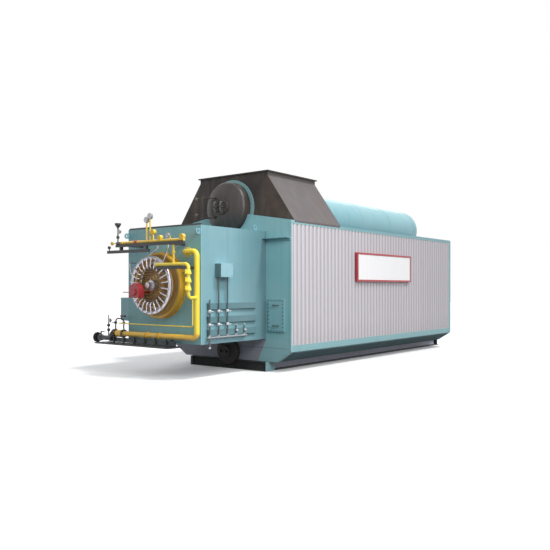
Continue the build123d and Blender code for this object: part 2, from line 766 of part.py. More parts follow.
# Burner barrel, plate and gun
burner = facing_out(0, BURNER_Z, BOX_FRONT)
plate_h = BARREL_LENGTH - PLATE_IN
barrel_foot_r = BARREL_R + BARREL_FOOT
barrel_lip_r = BARREL_R + BARREL_LIP
barrel_lip_h = BARREL_LENGTH - BARREL_LIP_T
barrel_outline = [
    (barrel_in, 0), (barrel_foot_r, 0), (barrel_foot_r, BARREL_FOOT_T), (BARREL_R, BARREL_FOOT_T),
    (BARREL_R, barrel_lip_h), (barrel_lip_r, barrel_lip_h), (barrel_lip_r, BARREL_LENGTH),
    (barrel_in, BARREL_LENGTH),
]
parts["burner_barrel"] = turned(barrel_outline, burner)
hoop_h = plate_h + HOOP_H
hoop_in = HOOP_R - HOOP_T / 2
hoop_out = HOOP_R + HOOP_T / 2
boss_h = plate_h + BOSS_H
plate_outline = [
    (0, plate_h - PLATE_T), (barrel_in, plate_h - PLATE_T), (barrel_in, plate_h), (hoop_out, plate_h),
    (hoop_out, hoop_h), (hoop_in, hoop_h), (hoop_in, plate_h), (BOSS_R, plate_h), (BOSS_R, boss_h),
    (0, boss_h),
]
parts["burner_plate"] = turned(plate_outline, burner)
hub_h = boss_h + HUB_LENGTH
gun_h = hub_h + GUN_LENGTH
hub_outline = [(0, boss_h), (HUB_R, boss_h), (HUB_R, hub_h), (GUN_R, hub_h), (GUN_R, gun_h), (0, gun_h)]
parts["burner_hub"] = turned(hub_outline, burner)

# Main gas pipe with its valve between the vents
flange_x = RISER_X - RISER_OFFSET
main_path = [
    (GAS_END_X, GAS_Y, GAS_Z), (RISER_X, GAS_Y, GAS_Z), (RISER_X, GAS_Y, RISER_TOP),
    (flange_x, GAS_Y, RISER_TOP), (flange_x, BOX_FRONT, RISER_TOP),
]
main_pipe = pipe(main_path, GAS_R, GAS_BEND)
flange_front = (flange_x, BOX_FRONT - GAS_FLANGE_T, RISER_TOP)
main_pipe += rod(flange_front, (flange_x, BOX_FRONT, RISER_TOP), GAS_FLANGE_R)
for x in COUPLING_XS:
    main_pipe += rod((x - COUPLING_W / 2, GAS_Y, GAS_Z), (x + COUPLING_W / 2, GAS_Y, GAS_Z), COUPLING_R)
vent_low, vent_high = VENT_XS
gas_valve_x = (vent_low + vent_high - GAS_VALVE_LENGTH) / 2
gas_valve_place = Plane(origin=(gas_valve_x, GAS_Y, GAS_Z), z_dir=(1, 0, 0))
main_pipe += turned(valve_body(GAS_VALVE_LENGTH, GAS_R, GAS_VALVE_R, GAS_VALVE_TAPER), gas_valve_place)
parts["main_gas_pipe"] = main_pipe

# Gas inlet: supply pipe with its valve, raised to the main pipe
inlet_start = (INLET_X, GAS_Y, INLET_Z)
inlet_path = [
    inlet_start, (ELBOW_X, GAS_Y, INLET_Z), (ELBOW_X, GAS_Y, GAS_Z), (GAS_END_X, GAS_Y, GAS_Z),
]
inlet_line = pipe(inlet_path, INLET_R, ELBOW_BEND)
inlet_line += rod((GAS_END_X - VENT_FLANGE_T, GAS_Y, GAS_Z), (GAS_END_X, GAS_Y, GAS_Z), VENT_FLANGE_R)
inlet_valve_place = Plane(origin=(INLET_VALVE_X, GAS_Y, INLET_Z), z_dir=(1, 0, 0))
inlet_valve = valve_body(INLET_VALVE_LENGTH, INLET_R, INLET_VALVE_R, INLET_VALVE_TAPER)
inlet_line += turned(inlet_valve, inlet_valve_place)
stem_x = INLET_VALVE_X + INLET_VALVE_LENGTH / 2
inlet_line += rod((stem_x, GAS_Y, INLET_Z), (stem_x, GAS_Y, INLET_STEM_TOP), INLET_STEM_R)
handle_z = INLET_STEM_TOP - INLET_HANDLE_R
handle_end = stem_x + INLET_HANDLE_LENGTH
inlet_line += rod((stem_x, GAS_Y, handle_z), (handle_end, GAS_Y, handle_z), INLET_HANDLE_R)
inlet_line -= rod(inlet_start, (INLET_VALVE_X, GAS_Y, INLET_Z), INLET_R - INLET_WALL)
parts["gas_inlet_valve"] = inlet_line
inlet_end = INLET_X + INLET_FLANGE_T
inlet = tube(inlet_start, (inlet_end, GAS_Y, INLET_Z), INLET_FLANGE_R, INLET_R)
bolt_r = (INLET_FLANGE_R + INLET_R) / 2
for n in range(INLET_HOLE_COUNT):
    angle = 2 * math.pi * (n + 0.5) / INLET_HOLE_COUNT
    y = GAS_Y + bolt_r * math.cos(angle)
    z = INLET_Z + bolt_r * math.sin(angle)
    inlet -= rod((INLET_X, y, z), (inlet_end, y, z), INLET_HOLE_R)
parts["gas_inlet_flange"] = inlet

# Vents on their flanges, and the inlet gauge
vent_path = [
    (vent_low, GAS_Y, GAS_Z), (vent_low, GAS_Y, VENT_TOP), (vent_high, GAS_Y, VENT_TOP),
    (vent_high, GAS_Y, GAS_Z),
]
vents = pipe(vent_path, VENT_R, VENT_BEND)
for x in VENT_XS:
    vents += cock(x, GAS_Y, VENT_COCK_Z)
    vents += rod((x - VENT_FLANGE_T / 2, GAS_Y, GAS_Z), (x + VENT_FLANGE_T / 2, GAS_Y, GAS_Z), VENT_FLANGE_R)
head_x = vent_high - VENT_BEND
head_z = VENT_TOP + VENT_HEAD_RISE
vents += rod((head_x, GAS_Y, VENT_TOP), (head_x, GAS_Y, head_z), VENT_R)
vents += rod((head_x - VENT_HEAD_R, GAS_Y, head_z), (head_x + VENT_HEAD_LENGTH, GAS_Y, head_z), VENT_HEAD_R)
vents -= main_pipe
gauge_stem = rod((GAUGE_X, GAS_Y, INLET_Z), (GAUGE_X, GAS_Y, GAUGE_STEM_TOP), GAUGE_STEM_R)
for z in GAUGE_COCK_ZS:
    gauge_stem += cock(GAUGE_X, GAS_Y, z)
gauge_stem += gauge_arm(GAUGE_X, GAS_Y, GAUGE_Z)
parts["vent_valves"] = Compound([vents, gauge_stem - inlet_line])

# Branch to the burner
end_x, end_y, branch_top = around(HOOP_R, BRANCH_END_DEG, hoop_h)
branch_path = [
    (RISER_X, GAS_Y, BRANCH_Z), (BRANCH_X, BRANCH_Y, BRANCH_Z), (BRANCH_X, BRANCH_Y, branch_top),
    (end_x, BRANCH_Y, branch_top), (end_x, end_y, branch_top),
]
branch = pipe(branch_path, BRANCH_R, BRANCH_BEND)
branch_cock_low = -BRANCH_COCK_H / 2
branch_cock = [
    (0, branch_cock_low), (BRANCH_COCK_R, branch_cock_low),
    (BRANCH_COCK_R, branch_cock_low + BRANCH_COCK_BAND), (BRANCH_R, BRANCH_COCK_H / 2),
    (0, BRANCH_COCK_H / 2),
]
for z in BRANCH_COCK_ZS:
    branch += turned(branch_cock, Plane(origin=(BRANCH_X, BRANCH_Y, z)))
branch -= main_pipe
parts["branch_gas_line"] = branch

# Upper header with its regulators
header = rod((HEADER_LOW_X, BRANCH_Y, HEADER_Z), (HEADER_HIGH_X, BRANCH_Y, HEADER_Z), HEADER_R)
header += cock_on(Plane(origin=(HEADER_COCK_X, BRANCH_Y, HEADER_Z), z_dir=(1, 0, 0)))
header += rod((DROP_X, BRANCH_Y, branch_top), (DROP_X, BRANCH_Y, HEADER_Z), DROP_R)
header += cock(DROP_X, BRANCH_Y, (branch_top + HEADER_Z) / 2)
header += rod((WHEEL_X, BRANCH_Y, HEADER_Z), (HEADER_LOW_X, BRANCH_Y, HEADER_Z), SPINDLE_R)
wheel_front = (WHEEL_X, BRANCH_Y - WHEEL_T / 2, HEADER_Z)
header += rod(wheel_front, (WHEEL_X, BRANCH_Y + WHEEL_T / 2, HEADER_Z), WHEEL_R)
for x, z in REGULATOR_POINTS:
    header += rod((x, BRANCH_Y, HEADER_Z), (x, BRANCH_Y, z), NECK_R)
    header += rod((x, BRANCH_Y - REGULATOR_T / 2, z), (x, BRANCH_Y + REGULATOR_T / 2, z), REGULATOR_R)
switches = []
for x, z in SWITCH_POINTS:
    header += rod((x, BRANCH_Y, HEADER_Z), (x, BRANCH_Y, z), STEM_R)
    switches.append(rod((x, BRANCH_Y - SWITCH_T / 2, z), (x, BRANCH_Y + SWITCH_T / 2, z), SWITCH_R))
header_gauge_path = [
    (HEADER_GAUGE_X, BRANCH_Y, HEADER_Z), (HEADER_GAUGE_X, BRANCH_Y, HEADER_GAUGE_Z),
    (HEADER_GAUGE_X, BRANCH_Y - ARM_OUT, HEADER_GAUGE_Z),
]
header += pipe(header_gauge_path, ARM_R, ARM_BEND)
header = header - branch - Compound(switches)
parts["upper_gas_header"] = header

# Dark fittings on the header
cone_high = CONE_LOW + CONE_H
cone_outline = [
    (0, HEADER_Z), (CONE_STEM_R, HEADER_Z), (CONE_STEM_R, CONE_LOW), (CONE_R, cone_high),
    (CONE_R, cone_high + CONE_BAND), (0, cone_high + CONE_BAND),
]
cone = turned(cone_outline, Plane(origin=(CONE_X, BRANCH_Y, 0))) + cock(CONE_X, BRANCH_Y, CONE_COCK_Z)
cone += gauge_arm(CONE_X, BRANCH_Y, CONE_GAUGE_Z)
sleeve_left = (SLEEVE_X - SLEEVE_W / 2, BRANCH_Y, HEADER_Z)
sleeve = rod(sleeve_left, (SLEEVE_X + SLEEVE_W / 2, BRANCH_Y, HEADER_Z), SLEEVE_R)
parts["header_fittings"] = Compound([cone - header, sleeve - header])
gauges = switches + [
    dial(GAUGE_X + ARM_REACH, GAS_Y - ARM_OUT, GAUGE_Z),
    dial(CONE_X + ARM_REACH, BRANCH_Y - ARM_OUT, CONE_GAUGE_Z),
    dial(HEADER_GAUGE_X, BRANCH_Y - ARM_OUT, HEADER_GAUGE_Z),
]
parts["gas_gauges"] = Compound(gauges)

# Frames that carry the header and the branch
rail_front = BRANCH_Y - RAIL_W / 2
rail_back = BRANCH_Y + RAIL_W / 2
rail_high = HEADER_Z - HEADER_R
rail_low = rail_high - RAIL_H
rack = block(RAIL_LOW_X, RAIL_HIGH_X, rail_front, rail_back, rail_low, rail_high)
for x in (-RAIL_ARM_X, RAIL_ARM_X):
    rack += block(x - RAIL_W / 2, x + RAIL_W / 2, rail_back, BOX_FRONT, rail_low, rail_high)
bar_high = LOW_BAR_Z + LOW_BAR_H / 2
rack += block(LOW_BAR_LOW_X, LOW_BAR_HIGH_X, rail_front, rail_back, LOW_BAR_Z - LOW_BAR_H / 2, bar_high)
for x in LOW_BAR_HANGER_XS:
    rack += block(x - RAIL_W / 2, x + RAIL_W / 2, rail_front, rail_back, bar_high, rail_low)
knob_x = LOW_BAR_LOW_X + KNOB_IN
rack += rod((knob_x, BRANCH_Y, bar_high), (knob_x, BRANCH_Y, bar_high + KNOB_RISE), KNOB_STEM_R)
rack += cock(knob_x, BRANCH_Y, bar_high + KNOB_RISE)
rack -= rod((DROP_X, BRANCH_Y, branch_top), (DROP_X, BRANCH_Y, HEADER_Z), DROP_R + DROP_CLEAR)
rack -= header + sleeve
shelf_high = branch_top - BRANCH_R
shelf_low = shelf_high - RAIL_H
shelf = block(SHELF_LOW_X, SHELF_HIGH_X, rail_front, rail_back, shelf_low, shelf_high)
shelf += block(SHELF_HIGH_X - RAIL_W, SHELF_HIGH_X, rail_back, BOX_FRONT, shelf_low, shelf_high)
parts["header_rack"] = Compound([rack, shelf])

# Ring manifold, swan-neck injector tubes and the bright tubes that feed the ring
ring = burner * Pos(0, 0, RING_OUT) * Torus(RING_R, RING_TUBE_R)
parts["gas_ring_manifold"] = ring
injector_circle = (BOSS_R + HOOP_R) / 2
injector_top = RING_OUT + INJECTOR_RISE
tubes = []
for n in range(INJECTOR_COUNT):
    turn = 360 * (n + 0.5) / INJECTOR_COUNT
    neck_path = [
        around(RING_R, turn, RING_OUT), around(RING_R, turn, injector_top),
        around(injector_circle, turn, injector_top), around(injector_circle, turn, plate_h),
    ]
    tubes.append(pipe(neck_path, INJECTOR_R, INJECTOR_BEND) - ring)
sag_z = rail_low - LINE_SAG
sag_start = rail_low - LINE_SAG / 2
for x, degrees in zip(LINE_XS, LINE_DEGS):
    end = around(RING_R, degrees, RING_OUT)
    sag_x = (x + end[0]) / 2
    line_path = [(x, BRANCH_Y, rail_high), (x, BRANCH_Y, sag_start), (sag_x, RING_Y, sag_z), end]
    tubes.append(pipe(line_path, LINE_R, LINE_BEND) - ring - rack)
face_line_y = (BOX_FRONT + RING_Y) / 2
face_line_path = [
    (FACE_LINE_X, BOX_FRONT, FACE_LINE_Z), (FACE_LINE_X, face_line_y, FACE_LINE_Z),
    around(RING_R + LINE_SAG, FACE_LINE_DEG, RING_OUT), around(RING_R, FACE_LINE_DEG, RING_OUT),
]
tubes.append(pipe(face_line_path, LINE_R, LINE_BEND) - ring)
parts["gas_injector_tubes"] = Compound(tubes)

# Register actuator on its post
actuator_x, post_y, actuator_z = around((BOSS_R + injector_circle) / 2, ACTUATOR_DEG, plate_h)
case_back = BOX_FRONT - injector_top - INJECTOR_R - ACTUATOR_GAP
case_front = case_back - ACTUATOR_T
side_x = ACTUATOR_W / 2
case_half = ACTUATOR_H / 2
case_outline = [
    (-side_x, -case_half), (side_x, -case_half), (side_x, case_half), (0, case_half + ACTUATOR_PEAK),
    (-side_x, case_half),
]
case = prism([(actuator_x + x, actuator_z + z) for x, z in case_outline], case_front, case_back)
case = fillet(case.edges().filter_by(Axis.Y), ACTUATOR_EDGE_R)
cap_y = case_front - ACTUATOR_CAP_H
case += rod((actuator_x, cap_y, actuator_z), (actuator_x, case_front, actuator_z), ACTUATOR_CAP_R)
case += rod((actuator_x, case_back, actuator_z), (actuator_x, post_y, actuator_z), POST_R)
lever_y = (case_front + case_back) / 2
lever_x = actuator_x - side_x
case += rod((lever_x, lever_y, actuator_z), (lever_x - LEVER_LENGTH, lever_y, actuator_z), LEVER_R)
parts["register_actuator"] = case

# Pilot line from the branch to the vent
pilot_x = (RISER_X + BRANCH_X) / 2
pilot_y = (GAS_Y + BRANCH_Y) / 2
pilot_path = [
    (pilot_x, pilot_y, BRANCH_Z), (pilot_x, pilot_y, PILOT_Z), (vent_high, pilot_y, PILOT_Z),
    (vent_high, GAS_Y, PILOT_Z),
]
parts["pilot_gas_line"] = pipe(pilot_path, PILOT_R, PILOT_BEND) - branch - vents

# Slotted deck under the gas pipe, hung on the windbox
deck_low = DECK_TOP - DECK_T
deck_back = BOX_FRONT - HANGER_T
deck_front = deck_back - DECK_DEPTH
deck = block(DECK_LOW_X, DECK_HIGH_X, deck_front, deck_back, deck_low, DECK_TOP)
slot_pitch = (DECK_HIGH_X - DECK_LOW_X) / DECK_SLOT_COUNT
slot_half = slot_pitch * DECK_SLOT_SHARE / 2
slot_front = deck_front + DECK_EDGE
slot_back = deck_back - DECK_EDGE
for n in range(DECK_SLOT_COUNT):
    x = DECK_LOW_X + (n + 0.5) * slot_pitch
    deck -= block(x - slot_half, x + slot_half, slot_front, slot_back, deck_low, DECK_TOP)
for n in range(1, DECK_SLOT_COUNT):
    x = DECK_LOW_X + n * slot_pitch
    deck += rod((x, GAS_Y, deck_low), (x, GAS_Y, GAS_Z), DECK_POST_R) - main_pipe - inlet_line - vents
hanger_top = BOX_LOW + HANGER_RISE
for x in HANGER_XS:
    deck += block(x - HANGER_W / 2, x + HANGER_W / 2, deck_back, BOX_FRONT, deck_low, hanger_top)
parts["train_rack"] = deck

# Struts and drain lines on the right side of the windbox
strut_front = BOX_FRONT + STRUT_BACK
struts = [channel(strut_front, strut_front + STRUT_LENGTH, z) for z in STRUT_ZS]
parts["strut_rails"] = Compound(struts)
drain_x = BOX_HALF + STRUT_OUT + DRAIN_R
drain_tops = [DRAIN_FIRST_TOP, SIDE_BOX_LOW, SIDE_BOX_LOW, DRAIN_SHORT_TOP, DRAIN_SHORT_TOP]
drain_ys = [BOX_FRONT + DRAIN_BACK + n * DRAIN_PITCH for n in range(len(drain_tops))]
drain_start = (drain_x, drain_ys[0] - DRAIN_OVER, DRAIN_HEADER_Z)
drain = rod(drain_start, (drain_x, drain_ys[-1] + DRAIN_OVER, DRAIN_HEADER_Z), DRAIN_HEADER_R)
for y, top in zip(drain_ys, drain_tops):
    drain += rod((drain_x, y, DRAIN_HEADER_Z), (drain_x, y, top), DRAIN_R)
drain += rod((drain_x, drain_ys[0], DRAIN_TAIL_LOW), (drain_x, drain_ys[0], DRAIN_HEADER_Z), DRAIN_R)
for y in drain_ys[:DRAIN_TALL_COUNT]:
    for z in DRAIN_COCK_ZS:
        drain += cock(drain_x, y, z)
parts["drain_lines"] = drain

# Boxes on the windbox sides, and the conduit from the left one
side_box_front = drain_ys[1] - SIDE_BOX_MARGIN
side_box_back = drain_ys[2] + SIDE_BOX_MARGIN
side_box_out = BOX_HALF + SIDE_BOX_OUT
side_box_top = SIDE_BOX_LOW + SIDE_BOX_H
side_box = block(BOX_HALF, side_box_out, side_box_front, side_box_back, SIDE_BOX_LOW, side_box_top)
side_box = fillet(side_box.edges().filter_by(Axis.X), SIDE_BOX_EDGE_R)
left_box_y = BOX_FRONT + LEFT_BOX_BACK
left_box_top = LEFT_BOX_LOW + LEFT_BOX_H
left_box_back = left_box_y + LEFT_BOX_LENGTH
left_box = block(-BOX_HALF - LEFT_BOX_OUT, -BOX_HALF, left_box_y, left_box_back, LEFT_BOX_LOW, left_box_top)
left_box = fillet(left_box.edges().filter_by(Axis.X), SIDE_BOX_EDGE_R)
conduit_x = -BOX_HALF - CONDUIT_OUT
conduit_y = (left_box_y + left_box_back) / 2
conduit_path = [
    (conduit_x, conduit_y, left_box_top), (conduit_x, conduit_y, CONDUIT_TOP),
    (-BOX_HALF, conduit_y, CONDUIT_TOP),
]
left_box += pipe(conduit_path, CONDUIT_R, CONDUIT_BEND)
parts["side_boxes"] = Compound([side_box, left_box])

os.makedirs("parts", exist_ok=True)
for name, shape in parts.items():
    export_step(shape, f"parts/{name}.step")
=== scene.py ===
"""Looks of a package watertube boiler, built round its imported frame. Metres, +Z up, burner towards -Y."""
from __future__ import annotations

import logging
import math
from dataclasses import dataclass, replace
from enum import Enum
from typing import Iterable, Sequence

import bmesh
import bpy
from mathutils import Matrix, Vector

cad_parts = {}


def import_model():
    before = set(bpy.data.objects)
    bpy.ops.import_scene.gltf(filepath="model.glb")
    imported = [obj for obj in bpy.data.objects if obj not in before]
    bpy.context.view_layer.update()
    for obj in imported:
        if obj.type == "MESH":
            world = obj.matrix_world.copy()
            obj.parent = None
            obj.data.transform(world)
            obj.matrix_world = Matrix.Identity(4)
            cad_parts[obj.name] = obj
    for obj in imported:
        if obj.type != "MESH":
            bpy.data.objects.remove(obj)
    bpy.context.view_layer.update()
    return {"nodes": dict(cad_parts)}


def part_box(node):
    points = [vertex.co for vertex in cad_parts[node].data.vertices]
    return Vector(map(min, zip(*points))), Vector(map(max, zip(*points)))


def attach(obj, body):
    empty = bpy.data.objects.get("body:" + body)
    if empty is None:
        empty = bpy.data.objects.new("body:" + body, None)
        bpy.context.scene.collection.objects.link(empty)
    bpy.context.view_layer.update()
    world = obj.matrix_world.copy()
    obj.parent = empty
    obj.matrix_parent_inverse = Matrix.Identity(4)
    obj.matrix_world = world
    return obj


LOG = logging.getLogger("boiler")
BODY = "root"
MERGE_REACH = 1e-6
BEVEL_STEPS = 2
Colour = tuple[int, int, int]
Light = tuple[float, float, float, float]
Point = tuple[float, float, float]
WHITE: Light = (1.0, 1.0, 1.0, 1.0)


class Facing(Enum):
    """The way that a small piece looks out from what carries it."""

    FRONT = (0.0, -1.0, 0.0)
    REAR = (0.0, 1.0, 0.0)
    RIGHT = (1.0, 0.0, 0.0)
    LEFT = (-1.0, 0.0, 0.0)
    UP = (0.0, 0.0, 1.0)
    DOWN = (0.0, 0.0, -1.0)

    @property
    def vector(self) -> Vector:
        """The direction as a vector."""
        return Vector(self.value)


def linear(colour: Colour) -> Light:
    """Turns a colour as seen on screen into the light values that a shader takes.

    Args:
        colour: red, green and blue from 0 to 255.

    Returns:
        The linear colour with full alpha.
    """
    shares = [c / 255 for c in colour]
    light = [s / 12.92 if s <= 0.04045 else ((s + 0.055) / 1.055) ** 2.4 for s in shares]
    return (light[0], light[1], light[2], 1.0)


def dimmed(light: Light, share: float) -> Light:
    """A linear colour cut down to a share of itself."""
    return (light[0] * share, light[1] * share, light[2] * share, 1.0)


class Wire:
    """A shader socket that can be used in sums."""

    def __init__(self, graph: Graph, socket: bpy.types.NodeSocket) -> None:
        """Keeps the socket and the graph that it belongs to."""
        self.graph = graph
        self.socket = socket

    def maths(self, operation: str, first: Wire | float, second: Wire | float, clamp: bool = False) -> Wire:
        """The result of a Math node, kept between 0 and 1 if asked."""
        settings = {"operation": operation, "use_clamp": clamp}
        return self.graph.node("ShaderNodeMath", settings, {0: first, 1: second})

    def __add__(self, other: Wire | float) -> Wire:
        """This value plus another."""
        return self.maths("ADD", self, other)

    __radd__ = __add__

    def __sub__(self, other: Wire | float) -> Wire:
        """This value less another."""
        return self.maths("SUBTRACT", self, other)

    def __rsub__(self, other: Wire | float) -> Wire:
        """Another value less this one."""
        return self.maths("SUBTRACT", other, self)

    def __mul__(self, other: Wire | float) -> Wire:
        """This value times another."""
        return self.maths("MULTIPLY", self, other)

    __rmul__ = __mul__

    def __lt__(self, other: Wire | float) -> Wire:
        """1 where this value is below another, else 0."""
        return self.maths("LESS_THAN", self, other)

    def __gt__(self, other: Wire | float) -> Wire:
        """1 where this value is above another, else 0; the reflected form of being below."""
        return self.maths("GREATER_THAN", self, other)

    def clipped(self) -> Wire:
        """This value kept between 0 and 1."""
        return self.maths("ADD", self, 0.0, clamp=True)

    def near(self, centre: float, reach: float) -> Wire:
        """1 where this value is within a reach of a centre, else 0."""
        return self.graph.node("ShaderNodeMath", {"operation": "COMPARE"}, {0: self, 1: centre, 2: reach})


class Graph:
    """The node tree of one finish or of the sky."""

    def __init__(self, owner: bpy.types.Material | bpy.types.World) -> None:
        """Opens the tree, which starts with its plain shader and its output.

        Args:
            owner: the material or the world that the tree belongs to.
        """
        owner.use_nodes = True
        self.owner = owner
        self.tree = owner.node_tree

    def node(self, kind: str, settings: dict, inputs: dict, out: int | str = 0) -> Wire:
        """Adds a node of any kind.

        Args:
            kind: the node's type.
            settings: values of its own properties, set first; a ramp's stops go in as "stops".
            inputs: values or wires for its sockets.
            out: the socket that is handed back.

        Returns:
            The chosen output.
        """
        made = self.tree.nodes.new(kind)
        for key, value in settings.items():
            if key == "stops":
                self.stops(made.color_ramp, value)
            else:
                setattr(made, key, value)
        for key, value in inputs.items():
            self.feed(made.inputs[key], value)
        return Wire(self, made.outputs[out])

    @staticmethod
    def stops(ramp: bpy.types.ColorRamp, stops: Sequence[tuple[float, float]]) -> None:
        """Sets the stops of a grey ramp.

        Args:
            ramp: the ramp.
            stops: places and levels.
        """
        while len(ramp.elements) < len(stops):
            ramp.elements.new(1.0)
        for element, (place, level) in zip(ramp.elements, stops):
            element.position = place
            element.color = (level, level, level, 1.0)

    def feed(self, socket: bpy.types.NodeSocket, value: Wire | float | Sequence[float]) -> None:
        """Links a wire to a socket, or writes a value into it.

        Args:
            socket: the socket to fill.
            value: what goes in.
        """
        if isinstance(value, Wire):
            self.tree.links.new(value.socket, socket)
        else:
            socket.default_value = value

    def place(self, scale: Point = (1.0, 1.0, 1.0)) -> Wire:
        """The place on the boiler, with each axis multiplied by its scale."""
        spot = self.node("ShaderNodeTexCoord", {}, {}, "Object")
        return self.node("ShaderNodeMapping", {}, {"Vector": spot, "Scale": scale})

    def axes(self) -> tuple[Wire, Wire, Wire]:
        """Takes the place on the boiler apart.

        Returns:
            The three coordinates as values.
        """
        made = self.node("ShaderNodeSeparateXYZ", {}, {"Vector": self.place()})
        outputs = made.socket.node.outputs
        return Wire(self, outputs[0]), Wire(self, outputs[1]), Wire(self, outputs[2])

    def shown(self) -> Wire:
        """Picks the rays that show the white behind: straight, mirrored or through glass.

        Returns:
            1 for those rays, else 0.
        """
        outputs = self.node("ShaderNodeLightPath", {}, {}).socket.node.outputs
        seen = Wire(self, outputs["Is Camera Ray"])
        mirrored = Wire(self, outputs["Is Glossy Ray"])
        through = Wire(self, outputs["Is Transmission Ray"])
        return (seen + mirrored + through).clipped()

    def blend(self, share: Wire | float, first: Wire | Sequence[float],
              second: Wire | Sequence[float]) -> Wire:
        """Two colours mixed, with a share of the second."""
        settings = {"data_type": "RGBA", "blend_type": "MIX"}
        return self.node("ShaderNodeMix", settings, {0: share, 6: first, 7: second}, 2)

    def bump(self, height: Wire, depth: float) -> None:
        """Raises the surface by a level from 0 to 1, whose full depth is in metres."""
        normal = self.node("ShaderNodeBump", {}, {"Height": height, "Distance": depth, "Strength": 1.0})
        self.surface(normal=normal)

    def surface(self, **values: Wire | float | Sequence[float]) -> None:
        """Fills the shader's sockets.

        Args:
            values: what goes in, under the sockets' names with underscores for spaces.
        """
        sockets = self.tree.nodes["Principled BSDF"].inputs
        for key, value in values.items():
            self.feed(sockets[key.replace("_", " ").title()], value)


@dataclass(frozen=True)
class Pattern:
    """Soft noise: its features to the metre, its finer layers, its stretch and the ends of its ramp."""

    scale: float
    detail: float
    stretch: Point = (1.0, 1.0, 1.0)
    ramp: tuple[float, float] | None = None

    def level(self, graph: Graph) -> Wire:
        """The pattern as a value.

        Args:
            graph: the finish that takes it.

        Returns:
            The level, from 0 to 1.
        """
        inputs = {"Vector": graph.place(self.stretch), "Scale": self.scale, "Detail": self.detail}
        noise = graph.node("ShaderNodeTexNoise", {}, inputs)
        if self.ramp is None:
            return noise
        start, end = self.ramp
        return graph.node("ShaderNodeValToRGB", {"stops": [(start, 0.0), (end, 1.0)]}, {"Fac": noise})


@dataclass(frozen=True)
class Zone:
    """A box on the boiler in which a finish takes another colour."""

    colour: Colour
    low: Point
    high: Point
    slack: float = 0.0001

    def mask(self, axes: Sequence[Wire]) -> Wire:
        """1 inside the box, else 0.

        Args:
            axes: the three coordinates.

        Returns:
            The mask.
        """
        spans = zip(axes, self.low, self.high)
        sides = [axis.near((a + b) / 2, (b - a) / 2 + self.slack) for axis, a, b in spans]
        return sides[0] * sides[1] * sides[2]


@dataclass(frozen=True)
class PaintedShadow:
    """A painted shadow on the foot of an end wall, in the lavender of shaded teal, with a leaning right-hand
    edge.
    """

    colour: Colour
    low_x: float
    high_x: float
    low_z: float
    high_z: float

    def mask(self, axes: Sequence[Wire]) -> Wire:
        """1 inside the painted shadow, else 0.

        Args:
            axes: the three coordinates.

        Returns:
            The mask.
        """
        slope = (self.high_x - self.low_x) / (self.high_z - self.low_z)
        inside = axes[0] < (axes[2] - self.low_z) * slope + self.low_x
        return inside * axes[2].near((self.low_z + self.high_z) / 2, (self.high_z - self.low_z) / 2)


@dataclass(frozen=True)
class PaintedShade:
    """Painted shade that thickens from one place to another along an axis of the boiler."""

    axis: int
    start: float
    end: float
    share: float

    def mask(self, axes: Sequence[Wire]) -> Wire:
        """How much painted shade there is, from none at the start to its full share at the end."""
        level = ((axes[self.axis] - self.start) * (1.0 / (self.end - self.start))).clipped()
        return level * self.share


@dataclass(frozen=True)
class Finish:
    """What every finish has: a name and a main colour."""

    name: str
    colour: Colour

    def material(self) -> bpy.types.Material:
        """Makes the finish when it is first asked for, and finds it after that.

        Returns:
            The material.
        """
        known = bpy.data.materials.get(self.name)
        if known:
            return known
        graph = Graph(bpy.data.materials.new(self.name))
        self.lay(graph)
        return graph.owner

    def lay(self, graph: Graph) -> None:
        """Lays the finish's nodes."""


